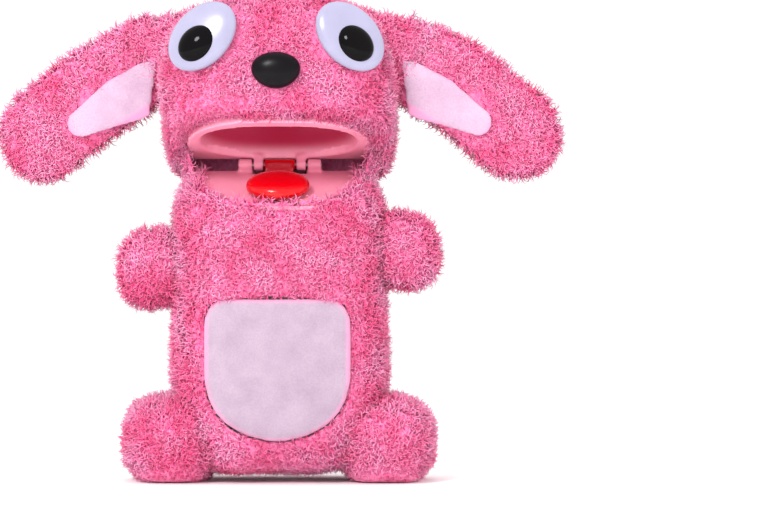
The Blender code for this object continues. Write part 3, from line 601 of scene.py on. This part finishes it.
# eyes and nose
eye = {"place": Vector((29, -37.6, 177)) * mm, "half": Vector((11.6, 3.6, 15.8)) * mm,
       "pupilHalf": Vector((6.5, 4.0, 8.1)) * mm, "pupilShift": Vector((1.6, -2.2, -3.4)) * mm,
       "turn": 14, "tip": -11, "lean": 42}
eyePlace, eyeTurn, eyeLean = {}, {}, {}
for side, flank in flanks.items():
    eyePlace[side] = Vector((flank * eye["place"].x, eye["place"].y, eye["place"].z))
    eyeTurn[side] = (Matrix.Rotation(radians(flank * eye["turn"]), 4, "Z")
                     @ Matrix.Rotation(radians(eye["tip"]), 4, "X"))
    eyeLean[side] = eyeTurn[side] @ Matrix.Rotation(radians(-flank * eye["lean"]), 4, "Y")


def dome(name, half, powers, place, turn, back, material, flare=0.0):
    bm = roundedBlock(Vector((0, 0, 0)), half, powers, "Y", 64, 40)
    for vert in bm.verts:
        vert.co.x *= 1 + flare * vert.co.z / half.z
        vert.co.y = min(vert.co.y, back)
    bmesh.ops.transform(bm, matrix=Matrix.Translation(place) @ turn, verts=bm.verts)
    return finished(name, bm, material)


for side, flank in flanks.items():
    white = dome(f"{side}EyeWhite", eye["half"], (2.3, 2), eyePlace[side], eyeLean[side], 0.5 * mm,
                 whitePlastic)
    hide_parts(f"{side}_eye_white")
    shift = eyeTurn[side] @ Vector((flank * eye["pupilShift"].x, eye["pupilShift"].y, eye["pupilShift"].z))
    pupil = dome(f"{side}EyePupil", eye["pupilHalf"], (2, 2), eyePlace[side] + shift, eyeLean[side], 1.6 * mm,
                 blackPlastic)
    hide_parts(f"{side}_eye_pupil")
    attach(white, "head")
    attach(pupil, "head")
nosePlace, noseHalf = Vector((0, -41.5, 163.5)) * mm, (9.6, 5.2, 7.2)
nose = dome("noseButton", Vector(noseHalf) * mm, (2.2, 2), nosePlace, Matrix(), 3 * mm, nosePlastic, 0.1)
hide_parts("nose")
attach(nose, "head")
print("face made")


# each jaw's outline: half width, depth, corner and back, and where its middle is
palateEdge = {"middle": -20 * mm, "outline": (37 * mm, 46 * mm, 29 * mm, 2 * mm)}
jawEdge = {"middle": -18 * mm, "outline": (32 * mm, 40 * mm, 24 * mm, 0.5 * mm)}


# how far a jaw's outline is from its middle in one direction, by halving
def outlineReach(halfWidth, depth, corner, back, centreY, direction):
    low, high = 0.0, 0.08
    for _ in range(24):
        middle = (low + high) / 2
        x, y = abs(direction[0] * middle), centreY + direction[1] * middle
        if y < -depth + corner and x > halfWidth - corner:
            inside = hypot(x - halfWidth + corner, y + depth - corner) < corner
        else:
            inside = x < halfWidth and -depth < y < back
        low, high = (middle, high) if inside else (low, middle)
    return low


patchShape = {"halfWidth": 29 * mm, "corner": 9 * mm, "top": 65 * mm, "bowl": 41.5 * mm,
              "bowlDepth": 24.5 * mm, "middle": 45.5 * mm}


# outside the belly patch this is above zero
def patchDistance(x, z):
    if z < patchShape["bowl"]:
        d = hypot(x / patchShape["halfWidth"], (z - patchShape["bowl"]) / patchShape["bowlDepth"])
        return (d - 1) * 27 * mm
    dx, dz = abs(x) - 20 * mm, z - patchShape["top"]
    if dx > 0 and dz > 0:
        return hypot(dx, dz) - patchShape["corner"]
    return max(dx, dz) - patchShape["corner"]


# head plush
headShape = {"centre": Vector((0, 2.5, 152)) * mm, "half": Vector((46, 42.5, 43)) * mm, "powers": (4, 3),
             "inset": 1.5 * mm, "rimTilt": -26, "rimLevel": -0.4 * mm}


# turns a cover's rim in toward the edge of its jaw
def ringTo(bm, frameTurn, centreY, outline, level, over, keepFrom, steps=3):
    rim = [e for e in bm.edges if e.is_boundary]
    rimVerts = {v for e in rim for v in e.verts}
    back = frameTurn.inverted()
    columns = {}
    for vert in rimVerts:
        local = back @ (vert.co - hinge)
        away = Vector((local.x, local.y - centreY))
        if local.y > keepFrom:
            continue
        direction = away.normalized()
        reach = outlineReach(*outline, centreY, direction) - over
        target = Vector((direction.x * reach, centreY + direction.y * reach, level))
        column = [vert]
        for k in range(1, steps + 1):
            t = k / steps
            mid = local.lerp(target, t)
            mid.z += 1.4 * mm * sin(pi * t) * (1 if frameTurn == jawTurn else -1)
            column.append(bm.verts.new(hinge + frameTurn @ mid))
        columns[vert] = column
    for e in rim:
        a, b = e.verts
        if a in columns and b in columns:
            for k in range(steps):
                bm.faces.new((columns[a][k], columns[b][k], columns[b][k + 1], columns[a][k + 1]))


headBm = roundedBlock(headShape["centre"], headShape["half"] - Vector((1, 1, 1)) * headShape["inset"],
                      headShape["powers"], "Y")
lumps(headBm, 1.6 * mm, 17 * mm)
rimPoint = hinge + Vector((0, 0, headShape["rimLevel"]))
bisect(headBm, rimPoint, radians(headShape["rimTilt"]), True)
bisect(headBm, rimPoint, -slopes["palate"], True)
ringTo(headBm, headTurn, palateEdge["middle"], palateEdge["outline"], 6.0 * mm, 0.8 * mm, 1 * mm)
headSkin = finished("headGround", headBm, backing)


def nearNose(co):
    return hypot((co.x - nosePlace.x) / (noseHalf[0] * mm), (co.z - nosePlace.z) / (noseHalf[2] * mm))


def headPile(co):
    value = 1.0
    for side, flank in flanks.items():
        local = eyeLean[side].to_3x3().inverted() @ (co - eyePlace[side])
        if local.y < 14 * mm:
            d = hypot(local.x / eye["half"].x, local.z / eye["half"].z)
            level = eyeTurn[side].to_3x3().inverted() @ (co - eyePlace[side])
            tuft = level.z < -9 * mm and abs(level.x + flank * 3 * mm) < 6 * mm
            if tuft and 0.8 < d < 1.2:
                value = min(value, 1.0) * 1.7
            else:
                behind = 0.55 * smoothStep(2.5 * mm, 7 * mm, local.y)    # short where the skin falls back
                value = min(value, behind if d < 0.97 else 0.5 + 0.5 * smoothStep(0.97, 1.35, d))
    if co.y < -20 * mm:
        d = nearNose(co)
        value = min(value, 0 if d < 0.9 else 0.62 + 0.38 * smoothStep(0.9, 1.5, d))
    local = headTurn.inverted() @ (co - hinge)
    if local.y < -14 * mm:
        lip = smoothStep(2 * mm, 10 * mm, local.z - 2 * mm - max(0, -local.y - 14 * mm) * 0.15)
        bare = 1 - smoothStep(-20 * mm, -8 * mm, local.x)
        value = min(value, 0.9 - 0.3 * bare + (0.1 + 0.3 * bare) * lip)
    return value


def headComb(co):
    local = headTurn.inverted() @ (co - hinge)
    comb = Vector((0, 0, -0.28 - 0.8 * (local.z < 9 * mm and local.x > -14 * mm)))
    for side, flank in flanks.items():
        away = co - eyePlace[side]
        local = eyeLean[side].to_3x3().inverted() @ away
        if local.y < 14 * mm:
            d = hypot(local.x / eye["half"].x, local.z / eye["half"].z)
            level = eyeTurn[side].to_3x3().inverted() @ away
            if level.z < -9 * mm and abs(level.x + flank * 3 * mm) < 6 * mm and d < 1.25:
                comb = Vector((0, -0.3, 2.8))
            elif d < 1.5:
                comb = Vector((away.x, 0, away.z)).normalized() * 1.1 * (1 - smoothStep(1.15, 1.5, d))
    if co.y < -20 * mm:
        away = Vector((co.x - nosePlace.x, 0, co.z - nosePlace.z))
        if nearNose(co) < 1.4:
            comb = away.normalized() * 0.6
    return comb


paintSkin(headSkin, headPile, headComb)
growPile("headPile", headSkin, "head", 11, {
    "Front": lambda c: c.y < -20 * mm, "Left": lambda c: -20 * mm <= c.y and c.x < -14 * mm,
    "Right": lambda c: -20 * mm <= c.y and c.x > 14 * mm,
    "Back": lambda c: -20 * mm <= c.y and abs(c.x) <= 14 * mm})
toShell(headSkin, 1.6 * mm)
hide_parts("head_cover")
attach(headSkin, "head")
print("head plush made")


# body plush
bodyShape = {"centre": Vector((0, 4, 66)) * mm, "half": Vector((42.5, 32, 64)) * mm, "powers": (5, 3),
             "inset": 1.5 * mm, "rimLevel": -4.6 * mm}
bodyBm = roundedBlock(bodyShape["centre"], bodyShape["half"] - Vector((1, 1, 1)) * bodyShape["inset"],
                      bodyShape["powers"])
roundPatch = [e for e in bodyBm.edges if all(
    v.co.y < 0 and 8 * mm < v.co.z < 82 * mm and abs(v.co.x) < 38 * mm for v in e.verts)]
bmesh.ops.subdivide_edges(bodyBm, edges=roundPatch, cuts=1, use_grid_fill=True)
lumps(bodyBm, 1.6 * mm, 18 * mm)
rimPoint = hinge + Vector((0, 0, bodyShape["rimLevel"]))
bisect(bodyBm, rimPoint, slopes["jaw"], False)
bisect(bodyBm, rimPoint, -slopes["jaw"], False)
ringTo(bodyBm, jawTurn, jawEdge["middle"], jawEdge["outline"], -1.9 * mm, 1.0 * mm, -1 * mm)
window = [f for f in bodyBm.faces if f.calc_center_median().y < -10 * mm
          and patchDistance(f.calc_center_median().x, f.calc_center_median().z) < 0.3 * mm]
bmesh.ops.delete(bodyBm, geom=window, context="FACES")
for vert in bodyBm.verts:
    if vert.is_boundary and vert.co.y < -15 * mm and 14 * mm < vert.co.z < 77 * mm:
        centre = Vector((0, 0, patchShape["middle"]))
        direction = Vector((vert.co.x, 0, vert.co.z - centre.z)).normalized()
        far = patchDistance(vert.co.x, vert.co.z)
        vert.co -= direction * (far - 0.8 * mm)
bodySkin = finished("bodyGround", bodyBm, backing)


def bodyPile(co):
    value = 1.0
    if co.y < -8 * mm:
        far = patchDistance(co.x, co.z)
        value = min(value, 0.85 + 0.15 * smoothStep(0.5 * mm, 6 * mm, far))
    value = min(value, 0.25 + 0.75 * smoothStep(2 * mm, 12 * mm, co.z))
    return value


def bodyComb(co):
    comb = Vector((0, 0, -0.25))
    if co.z < 12 * mm:
        comb = Vector((0, 0, 0.5))
    if co.y < -8 * mm:
        far = patchDistance(co.x, co.z)
        if far < 4 * mm:
            comb = Vector((-co.x, 0, patchShape["middle"] - co.z)).normalized() * 0.7
    local = jawTurn.inverted() @ (co - hinge)
    if local.z > -8 * mm and local.y < 0:
        comb = -Vector((co.x, co.y + 8 * mm, 0)).normalized() * 0.35 + Vector((0, 0, 0.2))
    return comb


paintSkin(bodySkin, bodyPile, bodyComb)
growPile("bodyPile", bodySkin, "torso", 31, {
    "Chest": lambda c: c.y < 0 and c.z >= 74 * mm, "Belly": lambda c: c.y < 0 and c.z < 74 * mm,
    "BackTop": lambda c: c.y >= 0 and c.z >= 61 * mm,
    "BackBase": lambda c: c.y >= 0 and c.z < 61 * mm})
toShell(bodySkin, 1.4 * mm)
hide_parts("body_cover")
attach(bodySkin, "torso")
print("body plush made")


# neck: one strip of plush from ear to ear round the back, sewn to both covers
neck = {"from": -0.09 * pi, "columns": 72, "rows": 8, "turnedIn": 5, "tuck": 4.5 * mm, "back": 8 * mm}


# how far a cover is from the puppet's middle at one height, by halving
def blockRadius(shape, direction, z):
    half = shape["half"] - Vector((1, 1, 1)) * shape["inset"]
    tallPower, flatPower = shape["powers"]
    if shape is headShape:
        def inside(r):
            x, y = direction[0] * r, direction[1] * r
            ring = ((abs(x) / half.x) ** flatPower
                    + (abs(z - shape["centre"].z) / half.z) ** flatPower) ** (tallPower / flatPower)
            return ring + (abs(y + 4 * mm - shape["centre"].y) / half.y) ** tallPower < 1
    else:
        def inside(r):
            x, y = direction[0] * r, direction[1] * r
            ring = ((abs(x) / half.x) ** flatPower
                    + (abs(y) / half.y) ** flatPower) ** (tallPower / flatPower)
            return ring + (abs(z - shape["centre"].z) / half.z) ** tallPower < 1
    low, high = 0.0, 0.08
    for _ in range(22):
        middle = (low + high) / 2
        low, high = (middle, high) if inside(middle) else (low, middle)
    return low


neckBm = bmesh.new()
grid = []
for column in range(neck["columns"] + 1):
    angle = neck["from"] + (pi - 2 * neck["from"]) * column / neck["columns"]
    fold = max(0.0, 1 - min(column, neck["columns"] - column) / neck["turnedIn"])
    direction = (cos(angle), sin(angle))
    foot, top = 115 * mm, 125 * mm
    for _ in range(12):
        foot = hinge.z - 7.5 * mm - abs(4 * mm + direction[1] * blockRadius(bodyShape, direction, foot)
                                        - hinge.y) * tan(slopes["jaw"])
        reach = 4 * mm + direction[1] * blockRadius(headShape, direction, top) - hinge.y
        slope = slopes["palate"] if reach > 0 else -radians(headShape["rimTilt"])
        top = hinge.z + 3 * mm - reach * tan(slope)
    low = Vector((direction[0] * blockRadius(bodyShape, direction, foot),
                  4 * mm + direction[1] * blockRadius(bodyShape, direction, foot), foot))
    high = Vector((direction[0] * blockRadius(headShape, direction, top),
                   4 * mm + direction[1] * blockRadius(headShape, direction, top), top))
    line = []
    for row in range(neck["rows"] + 1):
        t = row / neck["rows"]
        point = low.lerp(high, t) - Vector((direction[0], 0, 0)) * neck["tuck"] * sin(fold * pi / 2)
        point.y += neck["back"] * fold * fold
        pull = 1 - 0.05 * sin(pi * t)
        line.append(neckBm.verts.new((point.x * pull, 4 * mm + (point.y - 4 * mm) * pull, point.z)))
    grid.append(line)
for a, b in zip(grid, grid[1:]):
    for k in range(neck["rows"]):
        neckBm.faces.new((a[k], b[k], b[k + 1], a[k + 1]))
neckSkin = finished("neckGround", neckBm, backing)
middleFace = neckSkin.data.polygons[len(neckSkin.data.polygons) // 2]
if middleFace.normal.dot(middleFace.center - Vector((0, 4 * mm, middleFace.center.z))) < 0:
    neckSkin.data.flip_normals()
paintSkin(neckSkin, lambda co: 0.85, lambda co: Vector((0, 0, -0.15)))
neckPile = growPile("neckPile", neckSkin, None, 51, everywhere)
toShell(neckSkin, 1.0 * mm)
for obj in [neckSkin] + neckPile:
    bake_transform(obj)
print("neck plush made")


# ears
ear = {"pivot": Vector((47.5, 3, 174)) * mm, "length": 75 * mm, "halfWidth": 19 * mm, "halfThick": 6 * mm,
       "droop": {"left": 32, "right": 31}, "inset": 1.5 * mm, "sag": 4.5 * mm}
leaf = {"root": 7 * mm, "start": 1.5 * mm, "length": 47.5 * mm, "halfWidth": 9.5 * mm, "drop": 8 * mm,
        "seamLean": radians(21), "drawnLean": radians(8), "drawnFrom": 0.8 * mm, "give": 18 * mm}
earSeam = {"out": 39, "lean": 9, "front": 3, "halfDepth": 11, "height": 172, "halfHeight": 18.5}    # mm
earPlace, earTurn, earBack = {}, {}, {}
for side, flank in flanks.items():
    earPlace[side] = Vector((flank * ear["pivot"].x, ear["pivot"].y, ear["pivot"].z))
    earTurn[side] = Matrix.Rotation(flank * radians(ear["droop"][side]), 4, "Y")
    earBack[side] = (Matrix.Translation(earPlace[side]) @ earTurn[side]).inverted()


# a point of the ear's skin, t along it from the seam
def earPoint(flank, t, angle, inset):
    x = ear["length"] * t
    tip = sqrt(max(0.0, 1 - max(0.0, (x - 57 * mm) / (18 * mm)) ** 2))
    root = 0.86 + 0.14 * smoothStep(0, 0.3, t)
    width = max(0.0, (ear["halfWidth"] * root - inset) * tip)
    thick = max(0.0, (ear["halfThick"] * (0.72 + 0.28 * smoothStep(0, 0.2, t)) - inset * 0.6) * sqrt(tip))
    y = -thick * power(sin(angle), 0.85)
    z = width * power(cos(angle), 0.8) - ear["sag"] * t * t
    return Vector((flank * x, y, z))


# outside the strip of pale pile this is above zero
def leafDistance(x, z):
    x, z = x - leaf["start"], abs(z + leaf["drop"])
    roundness = leaf["halfWidth"] * 0.9
    beyond = x - (leaf["length"] - roundness)
    return hypot(beyond, z) - roundness if beyond > 0 else max(z - leaf["halfWidth"], -x)


for side, flank in flanks.items():
    bm = bmesh.new()
    rings = []
    for step in range(31):
        t = 1 - (1 - step / 30) ** 1.15 if step else -0.03
        rings.append([bm.verts.new(earPlace[side] + earTurn[side] @ earPoint(
            flank, min(t, 0.995), 2 * pi * k / 40, ear["inset"])) for k in range(40)])
    for a, b in zip(rings, rings[1:]):
        for k in range(40):
            bm.faces.new((a[k], a[(k + 1) % 40], b[(k + 1) % 40], b[k]))
    bm.faces.new(rings[0])
    bm.faces.new(rings[-1])
    bmesh.ops.recalc_face_normals(bm, faces=bm.faces)
    lumps(bm, 1.3 * mm, 15 * mm)
    earSkin = finished(f"{side}EarGround", bm, backing)

    def earPile(co):
        local = earBack[side] @ co
        far = leafDistance(flank * local.x, local.z)
        if local.y < 0 and far < 4 * mm:
            return 0.0 if far < -2.5 * mm else 0.7 + 0.3 * smoothStep(0, 4 * mm, far)
        return 1.0

    paintSkin(earSkin, earPile, lambda co: Vector((flank * 0.3, 0, -0.3)))
    growPile(f"{side}EarPile", earSkin, f"{side}_ear", 61 + flank, everywhere)
    # the ear's root, a sleeve of plush from inside the head to the ear
    rootBm = bmesh.new()
    columns = []
    for k in range(40):
        angle = 2 * pi * k / 40
        outer = earPlace[side] + earTurn[side] @ earPoint(flank, 0.14, angle, ear["inset"])
        inner = Vector((flank * (earSeam["out"] - earSeam["lean"] * max(0, cos(angle))),
                        earSeam["front"] - earSeam["halfDepth"] * sin(angle),
                        earSeam["height"] + earSeam["halfHeight"] * cos(angle)))
        inner = Vector((inner.x * mm, inner.y * mm, inner.z * mm))
        columns.append([rootBm.verts.new(inner.lerp(outer, row / 8)) for row in range(9)])
    for k in range(40):
        for row in range(8):
            a, b = columns[k], columns[(k + 1) % 40]
            rootBm.faces.new((a[row], b[row], b[row + 1], a[row + 1]))
    rootSkin = finished(f"{side}EarRoot", rootBm, backing)
    firstFace = rootSkin.data.polygons[0]
    if firstFace.normal.z < 0:
        rootSkin.data.flip_normals()
    paintSkin(rootSkin, lambda co: 0.95, lambda co: Vector((flank * 0.5, 0, -0.2)))
    rootPile = growPile(f"{side}EarRootPile", rootSkin, None, 71 + flank, everywhere)
    toShell(rootSkin, 1.0 * mm)
    for obj in [rootSkin] + rootPile:
        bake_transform(obj)
    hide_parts(f"{side}_ear")
    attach(earSkin, f"{side}_ear")
print("ears made")


# arms and legs
def limb(name, node, body, centre, half, powers, pole, seed, sole=False):
    bm = roundedBlock(centre, half - Vector((1, 1, 1)) * 1.5 * mm, powers, pole, 64, 32)
    lumps(bm, 1.4 * mm, 14 * mm)
    if sole:
        for vert in bm.verts:
            vert.co.z = max(vert.co.z, 0.6 * mm)
    skin = finished(name + "Ground", bm, backing)
    paintSkin(skin, lambda co: 0.3 + 0.7 * smoothStep(1 * mm, 9 * mm, co.z) if sole else 1.0,
              lambda co: Vector((0, 0, 0.7 if sole and co.z < 9 * mm else -0.25)))
    if sole:
        for value, vert in zip(skin.data.attributes["pile"].data, skin.data.vertices):
            value.value = 0 if vert.co.z < 0.8 * mm else value.value
    growPile(name + "Pile", skin, body, seed, everywhere)
    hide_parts(node)
    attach(skin, body)


# places in mm
leg = {"out": 43, "front": 3, "height": 15, "half": Vector((19, 28, 19)) * mm}
arm = {"out": 50, "front": -1, "height": {"left": 86, "right": 93}, "half": Vector((14.5, 12, 16)) * mm}
for side, flank in flanks.items():
    legCentre = Vector((flank * leg["out"], leg["front"], leg["height"])) * mm
    limb(f"{side}Leg", f"{side}_leg", "torso", legCentre, leg["half"], (3, 3), "Y", 81 + flank, sole=True)
    armCentre = Vector((flank * arm["out"], arm["front"], arm["height"][side])) * mm
    limb(f"{side}Arm", f"{side}_arm", f"{side}_arm", armCentre, arm["half"], (2.4, 2.4), "Z", 91 + flank)
print("arms and legs made")


# belly patch and ear linings: cut from velboa, padded, blown up like a cushion
def stuffed(obj, voxel, pressure, cap, facing):
    material = obj.data.materials[0]
    remesh = obj.modifiers.new("remesh", "REMESH")
    remesh.mode, remesh.voxel_size = "VOXEL", voxel
    applied(obj)
    start = [v.co.copy() for v in obj.data.vertices]
    cloth = obj.modifiers.new("cloth", "CLOTH")
    cloth.settings.use_pressure = True
    cloth.settings.uniform_pressure_force = pressure
    cloth.settings.effector_weights.gravity = 0
    cloth.settings.quality = 5
    for frameNumber in range(1, 21):
        bpy.context.scene.frame_set(frameNumber)
    applied(obj)
    bpy.context.scene.frame_set(1)
    # no point moves further than the cap, and the front keeps most of its place
    for vert, first in zip(obj.data.vertices, start):
        move = vert.co - first
        if move.length > cap:
            vert.co = first + move * (cap / move.length)
        if (vert.co - first).dot(facing) < 0 and (first - vert.co).dot(facing) > 0.3 * cap:
            vert.co += facing * (first - vert.co).dot(facing) * 0.7
    soften = obj.modifiers.new("soften", "SMOOTH")
    soften.iterations, soften.factor = 3, 0.5
    smooth = obj.modifiers.new("fine", "SUBSURF")
    smooth.levels = smooth.render_levels = 1
    applied(obj)
    refinish(obj, material)
    smoothAll(obj.data)
    return obj


# pink pile leans over the edge of the velboa
def paintRim(obj, distance):
    rim = obj.data.attributes.new("rim", "FLOAT", "POINT")
    for index, vert in enumerate(obj.data.vertices):
        rim.data[index].value = 1 - smoothStep(0, 2.6 * mm, distance(vert.co))


front = Vector((0, -1, 0))
patch = stuffed(nodeCopy("bellyPad", "belly_patch", velboaBelly), 2.2 * mm, 4, 2.0 * mm, front)
paintRim(patch, lambda co: -patchDistance(co.x, co.z))
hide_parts("belly_patch")
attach(patch, "trigger")

# a sleeve of pink cloth between the body's opening and the patch; on the real puppet it unfolds when the
# patch comes out, here it is one fixed shape with a slight fold
sleeve = {"back": -15.0 * mm, "front": -23.6 * mm, "rows": 8, "columns": 88, "inset": 0.9 * mm,
          "fold": 0.5 * mm, "middle": patchShape["middle"]}
sleeveBm = bmesh.new()
rings = []
for row in range(sleeve["rows"] + 1):
    ring = []
    for column in range(sleeve["columns"]):
        angle = 2 * pi * column / sleeve["columns"]
        low, high = 0.0, 60 * mm
        for _ in range(24):
            reach = (low + high) / 2
            far = patchDistance(reach * cos(angle), sleeve["middle"] + reach * sin(angle))
            inside = far < -sleeve["inset"]
            low, high = (reach, high) if inside else (low, reach)
        reach = low - sleeve["fold"] * sin(pi * row * 0.75)
        y = sleeve["back"] + (sleeve["front"] - sleeve["back"]) * row / sleeve["rows"]
        ring.append(sleeveBm.verts.new((reach * cos(angle), y, sleeve["middle"] + reach * sin(angle))))
    rings.append(ring)
for a, b in zip(rings, rings[1:]):
    for k in range(sleeve["columns"]):
        following = (k + 1) % sleeve["columns"]
        sleeveBm.faces.new((a[k], a[following], b[following], b[k]))
patchSleeve = toShell(finished("patchSleeve", sleeveBm, backing), 0.5 * mm)
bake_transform(patchSleeve)


# the lining's root is drawn out to the head, where the ear is sewn on
def reachSeam(obj, side):
    flank, droop = flanks[side], radians(ear["droop"][side])
    for vert in obj.data.vertices:
        out, drop = abs(vert.co.x) - ear["pivot"].x, ear["pivot"].z - vert.co.z
        edge = max((leaf["root"] - drop * sin(droop)) / cos(droop), drop * tan(leaf["seamLean"]))
        wanted = leaf["drawnFrom"] + drop * tan(leaf["drawnLean"])
        share = max(0.0, min(1.0, 1 - (out - edge) / leaf["give"]))
        vert.co.x -= flank * max(0.0, edge - wanted) * share


for side, flank in flanks.items():
    lining = nodeCopy(f"{side}EarLeaf", f"{side}_ear_lining", velboaEar)
    reachSeam(lining, side)
    lining = stuffed(lining, 0.9 * mm, 3, 1.2 * mm, front)

    def leafInset(co):
        local = earBack[side] @ co
        return -leafDistance(flank * local.x, local.z)

    paintRim(lining, leafInset)
    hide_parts(f"{side}_ear_lining")
    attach(lining, f"{side}_ear")
print("velboa pieces made")

for lock in list(lockCollection.objects):
    bpy.data.objects.remove(lock)
bpy.data.collections.remove(lockCollection)
